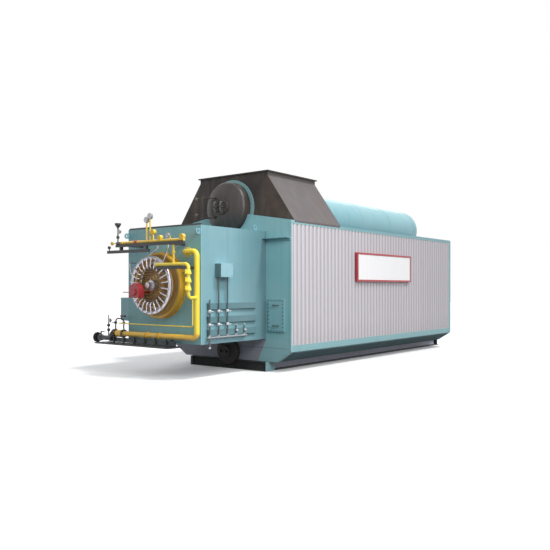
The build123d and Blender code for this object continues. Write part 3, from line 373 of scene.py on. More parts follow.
@dataclass(frozen=True)
class Enamel(Finish):
    """Sprayed paint: faded patches, rain streaks, dust near the ground, painted shade and painted shadows
    where asked, and a fine orange peel.
    """

    roughness: float = 0.42
    coat: float = 0.12
    coat_roughness: float = 0.22
    fade: float = 0.14
    streaks: float = 0.16
    dust: float = 0.18
    dust_height: float = 0.7
    seams: tuple[float, ...] = ()
    zones: tuple[Zone, ...] = ()
    shade_layers: tuple[PaintedShade, ...] = ()
    painted_shadows: tuple[PaintedShadow, ...] = ()
    patches: Pattern = Pattern(1.3, 5.0, ramp=(0.36, 0.66))
    patch_roughness: float = 0.1
    chalk: Light = (0.75, 0.76, 0.76, 1.0)
    chalk_share: float = 0.55
    drips: Pattern = Pattern(1.0, 4.0, stretch=(9.0, 9.0, 0.45), ramp=(0.5, 0.74))
    soot: Light = (0.035, 0.035, 0.03, 1.0)
    soot_share: float = 0.62
    specks: Pattern = Pattern(7.0, 6.0)
    dust_tone: Light = (0.23, 0.2, 0.165, 1.0)
    dust_roughness: float = 0.5
    shade_tone: Light = (0.04, 0.07, 0.072, 1.0)
    peel: Pattern = Pattern(160.0, 2.0)
    peel_height: float = 0.25
    seam_half: float = 0.004
    seam_tone: Light = (0.02, 0.03, 0.03, 1.0)
    seam_share: float = 0.75
    relief: float = 0.0012

    def lay(self, graph: Graph) -> None:
        """Lays fresh paint, then its wear, dust, painted shade and seams.

        Args:
            graph: the paint's node tree.
        """
        axes = graph.axes()
        patches = self.patches.level(graph)
        low = (1.0 - axes[2] * (1.0 / self.dust_height)).clipped()
        dirt = low * self.specks.level(graph) * self.dust
        colour = self.worn(graph, axes, patches)
        colour = graph.blend(dirt.clipped(), colour, self.dust_tone)
        # Painted shade: each layer darkens the colour along an axis towards where shade falls.
        for layer in self.shade_layers:
            colour = graph.blend(layer.mask(axes), colour, self.shade_tone)
        height = self.peel.level(graph) * self.peel_height
        for seam in self.seams:
            line = axes[2].near(seam, self.seam_half)
            colour = graph.blend(line * self.seam_share, colour, self.seam_tone)
            height = height - line
        roughness = self.roughness + patches * self.patch_roughness + dirt * self.dust_roughness
        graph.surface(base_color=colour, roughness=roughness, coat_weight=self.coat,
                      coat_roughness=self.coat_roughness)
        graph.bump(height, self.relief)

    def worn(self, graph: Graph, axes: Sequence[Wire], patches: Wire) -> Wire:
        """The paint's colours with their zones and painted shadows, chalked in patches and streaked by rain.

        Args:
            graph: the paint's node tree.
            axes: the three coordinates.
            patches: where the paint has faded.

        Returns:
            The colour.
        """
        colour = linear(self.colour)
        for part in (*self.zones, *self.painted_shadows):
            colour = graph.blend(part.mask(axes), colour, linear(part.colour))
        chalk = graph.blend(self.chalk_share, colour, self.chalk)
        colour = graph.blend(patches * self.fade, colour, chalk)
        soot = graph.blend(self.soot_share, colour, self.soot)
        return graph.blend(self.drips.level(graph) * self.streaks, colour, soot)


@dataclass(frozen=True)
class RibbedSheet(Finish):
    """Rolled metal sheet in upright lengths, each with its own tone, with rain marks and painted shade in the
    valleys.
    """

    valley_shade_colour: Colour
    crest: float
    depth: float
    valley_shade_share: float = 0.75
    sheet_width: float = 0.92
    metallic: float = 0.2
    roughness: float = 0.44
    dull_share: float = 0.86
    tone_share: float = 0.35
    rain: Pattern = Pattern(1.0, 4.0, stretch=(14.0, 14.0, 0.5), ramp=(0.46, 0.75))
    rain_tone: Light = (0.2, 0.19, 0.19, 1.0)
    rain_share: float = 0.07
    rain_height: float = 0.3
    dust: Pattern = Pattern(9.0, 6.0)
    dust_foot: float = 0.5
    dust_fall: float = 2.2
    dust_tone: Light = (0.26, 0.23, 0.2, 1.0)
    dust_share: float = 0.22
    dust_roughness: float = 0.4
    grain: Pattern = Pattern(4.0, 3.0, stretch=(40.0, 40.0, 1.2))
    grain_height: float = 0.4
    grain_roughness: float = 0.12
    relief: float = 0.0012

    def lay(self, graph: Graph) -> None:
        """Lays the sheets with their tones, then painted shade in the valleys, rain marks and dust.

        Args:
            graph: the sheet's node tree.
        """
        axes = graph.axes()
        strip = graph.node("ShaderNodeMath", {"operation": "FLOOR"}, {0: axes[1] * (1.0 / self.sheet_width)})
        tone = graph.node("ShaderNodeTexWhiteNoise", {"noise_dimensions": "1D"}, {"W": strip})
        base = linear(self.colour)
        colour = graph.blend(tone * self.tone_share, base, dimmed(base, self.dull_share))
        # Painted shade: darker where the sheet sinks into a valley between the ribs.
        across = graph.node("ShaderNodeMath", {"operation": "ABSOLUTE"}, {0: axes[0]})
        sunk = ((self.crest - across) * (1.0 / self.depth)).clipped()
        colour = graph.blend(sunk * self.valley_shade_share, colour, linear(self.valley_shade_colour))
        rain = self.rain.level(graph)
        colour = graph.blend(rain * self.rain_share, colour, self.rain_tone)
        low = (1.0 - (axes[2] - self.dust_foot) * self.dust_fall).clipped()
        dirt = low * self.dust.level(graph) * self.dust_share
        colour = graph.blend(dirt, colour, self.dust_tone)
        grain = self.grain.level(graph)
        roughness = self.roughness + grain * self.grain_roughness + dirt * self.dust_roughness
        graph.surface(base_color=colour, roughness=roughness, metallic=self.metallic)
        graph.bump(grain * self.grain_height + rain * self.rain_height, self.relief)


@dataclass(frozen=True)
class HeatPaint(Finish):
    """Matt dark paint that has been hot: bleached areas, brown bloom and a dry grain."""

    bloom: Colour = (104, 84, 70)
    pale: Colour = (122, 116, 112)
    roughness: float = 0.62
    zones: tuple[Zone, ...] = ()
    clouds: Pattern = Pattern(2.1, 6.0, ramp=(0.42, 0.72))
    cloud_share: float = 0.45
    wash: Pattern = Pattern(1.0, 4.0, stretch=(5.0, 5.0, 0.7), ramp=(0.45, 0.8))
    wash_share: float = 0.35
    grain: Pattern = Pattern(90.0, 4.0)
    grain_roughness: float = 0.2
    relief: float = 0.0015

    def lay(self, graph: Graph) -> None:
        """Lays the dark paint with its bloom, washed areas and grain.

        Args:
            graph: the paint's node tree.
        """
        axes = graph.axes()
        clouds = self.clouds.level(graph) * self.cloud_share
        colour = graph.blend(clouds, linear(self.colour), linear(self.bloom))
        colour = graph.blend(self.wash.level(graph) * self.wash_share, colour, linear(self.pale))
        for zone in self.zones:
            colour = graph.blend(zone.mask(axes), colour, linear(zone.colour))
        grain = self.grain.level(graph)
        graph.surface(base_color=colour, roughness=self.roughness + grain * self.grain_roughness)
        graph.bump(grain, self.relief)


@dataclass(frozen=True)
class BrightMetal(Finish):
    """Bare metal with drawn scratches and dull patches."""

    roughness: float = 0.26
    metallic: float = 1.0
    dull: Pattern = Pattern(12.0, 5.0, ramp=(0.4, 0.7))
    dull_share: float = 0.5
    dull_tone: float = 0.62
    dull_roughness: float = 0.16
    drawn: Pattern = Pattern(1.0, 2.0, stretch=(30.0, 30.0, 220.0))
    drawn_roughness: float = 0.08
    relief: float = 0.0004

    def lay(self, graph: Graph) -> None:
        """Lays the metal with its dull patches and drawn lines.

        Args:
            graph: the metal's node tree.
        """
        dull = self.dull.level(graph)
        base = linear(self.colour)
        colour = graph.blend(dull * self.dull_share, base, dimmed(base, self.dull_tone))
        drawn = self.drawn.level(graph)
        roughness = self.roughness + dull * self.dull_roughness + drawn * self.drawn_roughness
        graph.surface(base_color=colour, roughness=roughness, metallic=self.metallic)
        graph.bump(drawn, self.relief)


@dataclass(frozen=True)
class HeadSize:
    """The measures of a bolt head, a nut or a knob."""

    across: float
    height: float
    sides: int = 6
    crown: float = 0.86


@dataclass(frozen=True)
class Hoop:
    """The measures of a flat ring: its radii, and its back and front along its axis."""

    inner: float
    outer: float
    back: float
    front: float
    steps: int


class Paint(Enum):
    """The finishes that more than one sub-assembly or piece takes."""

    TEAL = Enamel("teal_enamel", (119, 165, 175))
    TRIM = Enamel("teal_trim", (126, 175, 181), streaks=0.12)
    BOLT_TEAL = Enamel("teal_bolts", (76, 112, 117), streaks=0.1)
    YELLOW = Enamel("pipe_yellow", (252, 226, 56), roughness=0.3, coat=0.4, fade=0.02, streaks=0.05,
                    dust=0.06)
    OCHRE = Enamel("burner_ochre", (224, 174, 40), roughness=0.34, coat=0.25, fade=0.06, streaks=0.24)
    RED = Enamel("red_enamel", (172, 42, 50), roughness=0.3, coat=0.4, fade=0.05, streaks=0.1)
    GASKET = Enamel("gasket_rubber", (96, 40, 34), roughness=0.7, coat=0.0, fade=0.1, streaks=0.1)
    BLACK = Enamel("black_enamel", (32, 33, 37), roughness=0.4, coat=0.15, fade=0.08, streaks=0.05)
    WHITE = Enamel("white_enamel", (230, 230, 233), roughness=0.32, coat=0.3, fade=0.0, streaks=0.05)
    DECK = Enamel("deck_plate_grey", (70, 82, 86), roughness=0.5, coat=0.0, streaks=0.3)
    STEEL = BrightMetal("bright_steel", (188, 184, 190))
    ZINC = BrightMetal("zinc_plated", (176, 178, 182), roughness=0.4)
    DARK_STEEL = BrightMetal("dark_steel", (58, 60, 64), roughness=0.45, metallic=0.7)

    @property
    def material(self) -> bpy.types.Material:
        """The finish as a material, made once."""
        return self.value.material()


class Mesher:
    """Gathers small shapes into one mesh and hands it over as a piece of the boiler."""

    def __init__(self) -> None:
        """Starts an empty mesh."""
        self.mesh = bmesh.new()

    @staticmethod
    def turn(spot: Vector, axis: Vector) -> Matrix:
        """The place of a shape with its middle at a spot and its own Z along an axis."""
        return Matrix.Translation(spot) @ axis.to_track_quat("Z", "Y").to_matrix().to_4x4()

    def head(self, spot: Vector, facing: Facing, size: HeadSize) -> None:
        """A bolt head, a nut or a knob, standing on a surface.

        Args:
            spot: the point on the surface.
            facing: the way out of it.
            size: its measures.
        """
        matrix = self.turn(spot + facing.vector * size.height / 2, facing.vector)
        radius = size.across / 2
        bmesh.ops.create_cone(self.mesh, cap_ends=True, segments=size.sides, radius1=radius,
                              radius2=radius * size.crown, depth=size.height, matrix=matrix)

    def head_circle(self, centre: Vector, facing: Facing, radius: float, count: int, size: HeadSize) -> None:
        """Bolt heads or nuts at even places round a circle.

        Args:
            centre: the circle's middle.
            facing: the way that it looks.
            radius: its radius.
            count: how many heads there are.
            size: their measures.
        """
        turn = self.turn(centre, facing.vector)
        for n in range(count):
            angle = 2 * math.pi * (n + 0.5) / count
            spot = turn @ Vector((radius * math.cos(angle), radius * math.sin(angle), 0.0))
            self.head(spot, facing, size)

    def bar(self, low: Sequence[float], high: Sequence[float], edge: float) -> None:
        """A flat bar or plate with softened edges.

        Args:
            low: its lowest corner.
            high: its highest corner.
            edge: the bevel on its edges.
        """
        size = Vector(high) - Vector(low)
        middle = (Vector(high) + Vector(low)) / 2
        matrix = Matrix.Translation(middle) @ Matrix.Diagonal((*size, 1.0))
        made = bmesh.ops.create_cube(self.mesh, size=1.0, matrix=matrix)
        edges = list({e for v in made["verts"] for e in v.link_edges})
        bmesh.ops.bevel(self.mesh, geom=edges, offset=edge, offset_type="OFFSET", affect="EDGES",
                        segments=BEVEL_STEPS, profile=0.5, material=-1)

    def ring(self, centre: Vector, facing: Facing, hoop: Hoop) -> None:
        """A flat ring, spun from its section.

        Args:
            centre: the middle of the ring.
            facing: the way its axis points.
            hoop: its measures.
        """
        matrix = self.turn(centre, facing.vector)
        section = [(hoop.inner, hoop.back), (hoop.outer, hoop.back),
                   (hoop.outer, hoop.front), (hoop.inner, hoop.front)]
        face = self.mesh.faces.new([self.mesh.verts.new(matrix @ Vector((r, 0.0, h))) for r, h in section])
        bmesh.ops.spin(self.mesh, geom=[face, *face.edges, *face.verts], cent=centre, axis=facing.vector,
                       angle=2 * math.pi, steps=hoop.steps, use_merge=True, use_duplicate=False)
        if face.is_valid:
            bmesh.ops.delete(self.mesh, geom=[face], context="FACES_ONLY")

    def rod(self, start: Vector, end: Vector, radius: float, sides: int) -> None:
        """A round pin or disc between two points.

        Args:
            start: the middle of its one end.
            end: the middle of its other end.
            radius: its radius.
            sides: how many sides it has.
        """
        matrix = self.turn((start + end) / 2, (end - start).normalized())
        bmesh.ops.create_cone(self.mesh, cap_ends=True, segments=sides, radius1=radius, radius2=radius,
                              depth=(end - start).length, matrix=matrix)

    def frame(self, corners: Sequence[Vector], width: float, out: Vector, thick: float) -> None:
        """A flat mitred frame inside four corners.

        Args:
            corners: the outer corners in order.
            width: how wide the frame is.
            out: the way it looks.
            thick: how far it stands out.
        """
        face = self.mesh.faces.new([self.mesh.verts.new(c) for c in corners])
        face.normal_update()
        inset = bmesh.ops.inset_individual(self.mesh, faces=[face], thickness=width, use_even_offset=True)
        bmesh.ops.delete(self.mesh, geom=[face], context="FACES_ONLY")
        raised = bmesh.ops.extrude_face_region(self.mesh, geom=inset["faces"])
        verts = [g for g in raised["geom"] if isinstance(g, bmesh.types.BMVert)]
        bmesh.ops.translate(self.mesh, verts=verts, vec=out * thick)

    def piece(self, name: str, paint: Paint) -> None:
        """Hands the mesh over as a piece that rides on the boiler.

        Args:
            name: the piece's name.
            paint: its finish.
        """
        bmesh.ops.remove_doubles(self.mesh, verts=self.mesh.verts[:], dist=MERGE_REACH)
        bmesh.ops.recalc_face_normals(self.mesh, faces=self.mesh.faces[:])
        data = bpy.data.meshes.new(name)
        self.mesh.to_mesh(data)
        self.mesh.free()
        made = bpy.data.objects.new(name, data)
        bpy.context.scene.collection.objects.link(made)
        data.materials.append(paint.material)
        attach(made, BODY)
        LOG.info("%s: %d faces", name, len(data.polygons))


def spaced(low: float, high: float, count: int) -> list[float]:
    """A count of even places from a low end to a high one."""
    return [low + (high - low) * n / (count - 1) for n in range(count)]


@dataclass
class Assembly:
    """A sub-assembly of the boiler: it dresses its nodes and adds its small pieces."""

    nodes: dict[str, bpy.types.Object]

    def paint(self, names: Iterable[str], material: bpy.types.Material) -> None:
        """Gives nodes a finish.

        Args:
            names: the nodes.
            material: the finish.
        """
        for name in names:
            made = self.nodes[name]
            made.data.materials.clear()
            made.data.materials.append(material)
            LOG.info("%s: %s", name, material.name)

    def build(self) -> None:
        """Adds the small pieces."""

    def dress(self) -> None:
        """Gives the nodes their finishes."""


@dataclass
class Skid(Assembly):
    """The welded base: two runners with plated ends, and three saddle beams."""

    # Painted shade: the runners take the lavender of teal steel in shade.
    runner_colour: Colour = (186, 188, 208)
    # Painted shadow: a dark strip along the runners' foot for their contact shadow on the floor.
    contact_shadow_colour: Colour = (30, 31, 35)
    contact_shadow_height: float = 0.03
    # Painted shade: the saddle beams near-black for the deep shade under the windbox.
    beam_colour: Colour = (8, 14, 17)
    plate_length: float = 0.29
    plate_thick: float = 0.008
    plate_edge: float = 0.003

    def build(self) -> None:
        """Adds the plates on the front ends of the runners."""
        low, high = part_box("front_saddle_beam")
        mesher = Mesher()
        for near, far in ((high.x, high.x + self.plate_thick), (low.x - self.plate_thick, low.x)):
            mesher.bar((near, low.y, low.z), (far, low.y + self.plate_length, high.z), self.plate_edge)
        mesher.piece("runner_end_plates", Paint.TRIM)

    def dress(self) -> None:
        """Paints the runners in the lavender of shaded teal with a painted contact shadow along their foot,
        and the saddle beams near-black as painted shade.
        """
        low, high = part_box("skid_runner_right")
        # Painted contact shadow along the bottom of the runners.
        foot = Zone(self.contact_shadow_colour, (-high.x, low.y, low.z), (high.x, high.y, low.z + self.contact_shadow_height))
        runner = Enamel("runner_enamel", self.runner_colour, dust=0.2, dust_height=0.3, zones=(foot,))
        self.paint(["skid_runner_left", "skid_runner_right"], runner.material())
        beam = Enamel("saddle_beam_enamel", self.beam_colour, roughness=0.8, coat=0.0, dust=0.05)
        self.paint(["front_saddle_beam", "mid_saddle_beam", "rear_saddle_beam"], beam.material())


@dataclass
class Casing(Assembly):
    """The lagged casing: end walls, floor, roof, ribbed sides in their trim, ledges and access doors."""

    wall_colour: Colour = (130, 184, 190)
    seam_height: float = 0.464
    # Painted shadow: the windbox's shadow on the front wall's foot, lavender like shaded teal, on one side
    # only.
    wall_foot_shadow: PaintedShadow = PaintedShadow((129, 133, 147), low_x=0.77, high_x=0.985, low_z=0.19, high_z=0.64)
    lagging_colour: Colour = (202, 199, 204)
    # Painted shade colour for the lagging's valleys.
    valley_shade_colour: Colour = (165, 159, 167)
    # Painted shade: the downward-facing belly plates in a dark teal for the shade under the casing.
    belly_shade_colour: Colour = (56, 92, 98)
    edge_strip: float = 0.03
    screw: HeadSize = HeadSize(0.012, 0.004)
    screw_rows: tuple[float, ...] = (0.58, 1.2, 1.75, 2.3, 2.85)
    screw_step: int = 2
    rib_count: int = 54
    rib_depth: float = 0.016
    valley_middle: float = 0.175
    door_colour: Colour = (129, 182, 189)
    door_thick: float = 0.03
    door_inner: float = 1.047
    door_bolt: HeadSize = HeadSize(0.026, 0.018)
    door_bolt_in: float = 0.022
    door_bolts_across: int = 6
    door_bolts_up: int = 9
    grip_colour: Colour = (26, 28, 31)
    grip_out: float = 0.001

    def build(self) -> None:
        """Adds the lagging's screws and the doors' bolts."""
        self.screws("right", Facing.RIGHT)
        self.screws("left", Facing.LEFT)
        self.door_bolts()

    def screws(self, side: str, facing: Facing) -> None:
        """Rows of sheet screws in the valleys of one side.

        Args:
            side: the side's name.
            facing: the way that it looks.
        """
        low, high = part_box(f"side_lagging_{side}")
        pitch = (high.y - low.y) / self.rib_count
        outer = high.x if facing is Facing.RIGHT else low.x
        valley = outer - facing.vector.x * self.rib_depth
        mesher = Mesher()
        for row in self.screw_rows:
            for n in range(0, self.rib_count, self.screw_step):
                spot = Vector((valley, low.y + (n + self.valley_middle) * pitch, row))
                mesher.head(spot, facing, self.screw)
        mesher.piece(f"lagging_screws_{side}", Paint.ZINC)

    def door_bolts(self) -> None:
        """Bolts all round both access doors."""
        low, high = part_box("access_doors")
        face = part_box("front_wall")[0].y - self.door_thick
        inner = self.door_inner + self.door_bolt_in
        outer = high.x - self.door_bolt_in
        bottom = low.z + self.door_bolt_in
        top = high.z - self.door_bolt_in
        spots = [(x, z) for z in (bottom, top) for x in spaced(inner, outer, self.door_bolts_across)]
        spots += [(x, z) for x in (inner, outer) for z in spaced(bottom, top, self.door_bolts_up)[1:-1]]
        mesher = Mesher()
        for x, z in spots:
            mesher.head(Vector((x, face, z)), Facing.FRONT, self.door_bolt)
            mesher.head(Vector((-x, face, z)), Facing.FRONT, self.door_bolt)
        mesher.piece("access_door_bolts", Paint.BOLT_TEAL)

    def dress(self) -> None:
        """Paints the casing."""
        seams = (self.seam_height,)
        front = Enamel("front_wall_enamel", self.wall_colour, seams=seams, painted_shadows=(self.wall_foot_shadow,))
        self.paint(["front_wall"], front.material())
        self.paint(["rear_wall"], Enamel("rear_wall_enamel", self.wall_colour, seams=seams).material())
        self.paint(["casing_roof_left", "casing_roof_right", "front_ledges"], Paint.TEAL.material)
        belly = Enamel("belly_enamel", self.belly_shade_colour, roughness=0.85, coat=0.0)
        self.paint(["casing_floor_left", "casing_floor_right"], belly.material())
        low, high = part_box("side_lagging_right")
        sheet = RibbedSheet("ribbed_lagging", self.lagging_colour, self.valley_shade_colour, high.x, self.rib_depth)
        self.paint(["side_lagging_left", "side_lagging_right"], sheet.material())
        strip = Zone(self.lagging_colour, (-high.x, low.y - self.edge_strip, low.z), (high.x, low.y, high.z))
        trim = replace(Paint.TRIM.value, name="side_trim_enamel", zones=(strip,))
        self.paint(["side_trim_left", "side_trim_right"], trim.material())
        low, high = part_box("access_doors")
        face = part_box("front_wall")[0].y - self.door_thick
        grips = Zone(self.grip_colour, (low.x, low.y, low.z), (high.x, face - self.grip_out, high.z))
        self.paint(["access_doors"], Enamel("door_enamel", self.door_colour, zones=(grips,)).material())


@dataclass
class SteamDrum(Assembly):
    """The lagged top drum with its dished ends, manway, jacket bands and water column."""

    jacket_colour: Colour = (136, 189, 199)
    rear_colour: Colour = (109, 153, 161)
    collar_colour: Colour = (124, 166, 168)
    head_colour: Colour = (44, 39, 38)
    head_bloom: Colour = (72, 62, 56)
    head_pale: Colour = (98, 92, 89)
    shell_colour: Colour = (38, 35, 34)
    manway_colour: Colour = (30, 27, 26)
    yoke_colour: Colour = (90, 84, 81)
    yoke_out: float = 0.1
    column_colour: Colour = (34, 32, 32)
    cock_colour: Colour = (118, 108, 100)
    cock_length: float = 0.07
    # Painted shade: the jacket darkens towards its underside, where less light falls.
    shade: PaintedShade = PaintedShade(axis=2, start=3.62, end=2.9, share=0.5)
    band_width: float = 0.024
    band_thick: float = 0.003
    band_sink: float = 0.001
    band_steps: int = 64
    band_places: tuple[float, ...] = (-0.7, 0.715, 2.13, 3.545)
    nut: HeadSize = HeadSize(0.05, 0.024)
    nut_spread: float = 0.085
    nut_in: float = 0.03

    def build(self) -> None:
        """Adds the jacket's bands and the manway's nuts."""
        low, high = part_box("steam_drum_lagging")
        radius = (high.x - low.x) / 2
        axis_z = (high.z + low.z) / 2
        half = self.band_width / 2
        band = Hoop(radius - self.band_sink, radius + self.band_thick, -half, half, self.band_steps)
        mesher = Mesher()
        for place in self.band_places:
            mesher.ring(Vector((0.0, place, axis_z)), Facing.REAR, band)
        mesher.piece("drum_jacket_bands", Paint.TRIM)
        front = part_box("steam_drum_manway")[0].y
        mesher = Mesher()
        for x in (-self.nut_spread, self.nut_spread):
            mesher.head(Vector((x, front + self.nut_in, axis_z)), Facing.FRONT, self.nut)
        mesher.piece("manway_nuts", Paint.DARK_STEEL)

    def dress(self) -> None:
        """Paints the drum."""
        jacket = Enamel("drum_jacket", self.jacket_colour, roughness=0.36, coat=0.25, shade_layers=(self.shade,))
        self.paint(["steam_drum_lagging"], jacket.material())
        self.paint(["steam_drum_collar"], Enamel("drum_collar", self.collar_colour).material())
        head = HeatPaint("drum_head_paint", self.head_colour, self.head_bloom, self.head_pale,
                         roughness=0.3)
        self.paint(["steam_drum_front_head"], head.material())
        self.paint(["steam_drum_shell"], HeatPaint("drum_shell_paint", self.shell_colour).material())
        low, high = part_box("steam_drum_manway")
        yokes = Zone(self.yoke_colour, (low.x, low.y, low.z), (high.x, low.y + self.yoke_out, high.z))
        manway = HeatPaint("manway_paint", self.manway_colour, roughness=0.45, zones=(yokes,))
        self.paint(["steam_drum_manway"], manway.material())
        rear = Enamel("drum_rear_end", self.rear_colour, roughness=0.38)
        self.paint(["steam_drum_rear_head"], rear.material())
        low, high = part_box("water_column")
        tips = Zone(self.cock_colour, (low.x, low.y, low.z), (low.x + self.cock_length, high.y, high.z))
        column = HeatPaint("water_column_paint", self.column_colour, zones=(tips,))
        self.paint(["water_column"], column.material())


@dataclass
class MudDrum(Assembly):
    """The bottom drum with its ends and hatch."""

    colour: Colour = (42, 39, 39)
    bloom: Colour = (68, 54, 48)
    pale: Colour = (70, 68, 68)
    nut: HeadSize = HeadSize(0.05, 0.04)
    nut_spread: float = 0.07

    def build(self) -> None:
        """Adds the hatch's two nuts."""
        low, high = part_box("mud_drum_hatch")
        mesher = Mesher()
        for x in (-self.nut_spread, self.nut_spread):
            mesher.head(Vector((x, low.y, (low.z + high.z) / 2)), Facing.FRONT, self.nut)
        mesher.piece("mud_drum_hatch_nuts", Paint.DARK_STEEL)

    def dress(self) -> None:
        """Paints the drum."""
        names = ["mud_drum_shell", "mud_drum_front_head", "mud_drum_rear_head", "mud_drum_hatch"]
        self.paint(names, HeatPaint("mud_drum_paint", self.colour, self.bloom, self.pale).material())


@dataclass
class FlueHood(Assembly):
    """The tapered flue hood with its open flange."""

    # Painted light and shade: the ends dark and the slopes pale, as one sheet in shade and lit.
    end_shade_colour: Colour = (44, 38, 36)
    rim_colour: Colour = (44, 40, 38)
    side_colour: Colour = (96, 91, 92)
    side_bloom: Colour = (101, 89, 83)
    side_pale: Colour = (120, 115, 115)
    # Painted shade: a darker band on the neck, under the rim.
    neck_shade_colour: Colour = (82, 77, 75)
    neck_low: float = 3.89

    def dress(self) -> None:
        """Paints the hood: ends darkened as painted shade and a dark rim, slopes paled as painted light under
        a painted shaded band at the neck.
        """
        self.paint(["hood_front", "hood_rear"], HeatPaint("hood_end_paint", self.end_shade_colour).material())
        self.paint(["flue_flange"], HeatPaint("flue_flange_paint", self.rim_colour).material())
        low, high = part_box("hood_side_right")
        neck = Zone(self.neck_shade_colour, (-high.x, low.y, self.neck_low), (high.x, high.y, high.z))
        sides = HeatPaint("hood_side_paint", self.side_colour, self.side_bloom, self.side_pale, zones=(neck,))
        self.paint(["hood_side_left", "hood_side_right"], sides.material())


@dataclass
class Windbox(Assembly):
    """The plenum in front of the casing, with its rim, lugs, side boxes and conduit."""

    front_colour: Colour = (129, 183, 191)
    rim_colour: Colour = (40, 46, 48)
    rim_low: float = 2.7595
    # Painted shade: the windbox sides darken towards the casing's corner, where shade falls.
    corner: PaintedShade = PaintedShade(axis=1, start=-4.75, end=-3.72, share=0.5)
    # Painted light and shade: the box paler than the wall as if lit, its front face dark as if shaded.
    box_colour: Colour = (142, 188, 199)
    box_front: Zone = Zone((76, 112, 118), (0.98, -5.192, 1.84), (1.13, -5.19, 2.09))
    conduit_colour: Colour = (226, 228, 230)
    conduit_low: float = 1.4535
    conduit_high: float = 2.6
    screw: HeadSize = HeadSize(0.02, 0.008, 8)
    screw_ys: tuple[float, ...] = (-5.165, -4.892)
    screw_zs: tuple[float, ...] = (1.866, 2.064)

    def build(self) -> None:
        """Adds the screws of the right-hand box."""
        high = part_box("side_boxes")[1]
        mesher = Mesher()
        for y in self.screw_ys:
            for z in self.screw_zs:
                mesher.head(Vector((high.x, y, z)), Facing.RIGHT, self.screw)
        mesher.piece("side_box_screws", Paint.ZINC)

    def dress(self) -> None:
        """Paints the windbox."""
        low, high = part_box("windbox_front")
        rim = Zone(self.rim_colour, (low.x, low.y, self.rim_low), (high.x, high.y, high.z))
        front = Enamel("windbox_front_enamel", self.front_colour, zones=(rim,))
        self.paint(["windbox_front"], front.material())
        # The side panels take the painted corner shade.
        side = replace(Paint.TEAL.value, name="windbox_side_enamel", shade_layers=(self.corner,))
        self.paint(["windbox_side_left", "windbox_side_right"], side.material())
        self.paint(["windbox_top", "windbox_bottom", "lifting_lugs"], Paint.TEAL.material)
        low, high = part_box("side_boxes")
        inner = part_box("windbox_front")[0].x
        conduit = Zone(self.conduit_colour, (low.x, low.y, self.conduit_low),
                       (inner, high.y, self.conduit_high))
        boxes = Enamel("side_box_enamel", self.box_colour, zones=(conduit, self.box_front))
        self.paint(["side_boxes"], boxes.material())


@dataclass
class BurnerFront(Assembly):
    """The register burner: barrel, plate, gun, ring manifold, injectors and the actuator."""

    plate_colour: Colour = (168, 126, 32)
    axis_z: float = 1.69
    ring_radius: float = 0.5
    ring_front: float = 0.324
    injector_circle: float = 0.315
    plate_out: float = 0.125
    injectors: int = 24
    nut: HeadSize = HeadSize(0.04, 0.028)
    foot_out: float = 0.02
    foot_circle: float = 0.601
    foot_bolts: int = 24
    foot_bolt: HeadSize = HeadSize(0.021, 0.02)
    boss_out: float = 0.175
    boss_circle: float = 0.165
    boss_bolts: int = 12
    boss_bolt: HeadSize = HeadSize(0.03, 0.02)
    hoop_out: float = 0.159
    hoop: Hoop = Hoop(inner=0.407, outer=0.433, back=0.0, front=0.004, steps=96)

    def build(self) -> None:
        """Adds the nuts of the injectors, the bolts of the barrel and the bright edge of the hoop."""
        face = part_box("windbox_front")[0].y
        mesher = Mesher()
        ring = Vector((0.0, face - self.ring_front, self.axis_z))
        mesher.head_circle(ring, Facing.FRONT, self.ring_radius, self.injectors, self.nut)
        plate = Vector((0.0, face - self.plate_out, self.axis_z))
        mesher.head_circle(plate, Facing.FRONT, self.injector_circle, self.injectors, self.nut)
        mesher.piece("injector_nuts", Paint.ZINC)
        mesher = Mesher()
        foot = Vector((0.0, face - self.foot_out, self.axis_z))
        mesher.head_circle(foot, Facing.FRONT, self.foot_circle, self.foot_bolts, self.foot_bolt)
        boss = Vector((0.0, face - self.boss_out, self.axis_z))
        mesher.head_circle(boss, Facing.FRONT, self.boss_circle, self.boss_bolts, self.boss_bolt)
        mesher.piece("burner_bolts", Paint.ZINC)
        mesher = Mesher()
        mesher.ring(Vector((0.0, face - self.hoop_out, self.axis_z)), Facing.FRONT, self.hoop)
        mesher.piece("register_hoop_edge", Paint.STEEL)

    def dress(self) -> None:
        """Paints the burner."""
        self.paint(["burner_barrel"], Paint.OCHRE.material)
        plate = Enamel("burner_plate_ochre", self.plate_colour, roughness=0.4, coat=0.1, streaks=0.4)
        self.paint(["burner_plate"], plate.material())
        self.paint(["burner_hub", "gas_ring_manifold", "gas_injector_tubes"], Paint.STEEL.material)
        self.paint(["register_actuator"], Paint.RED.material)


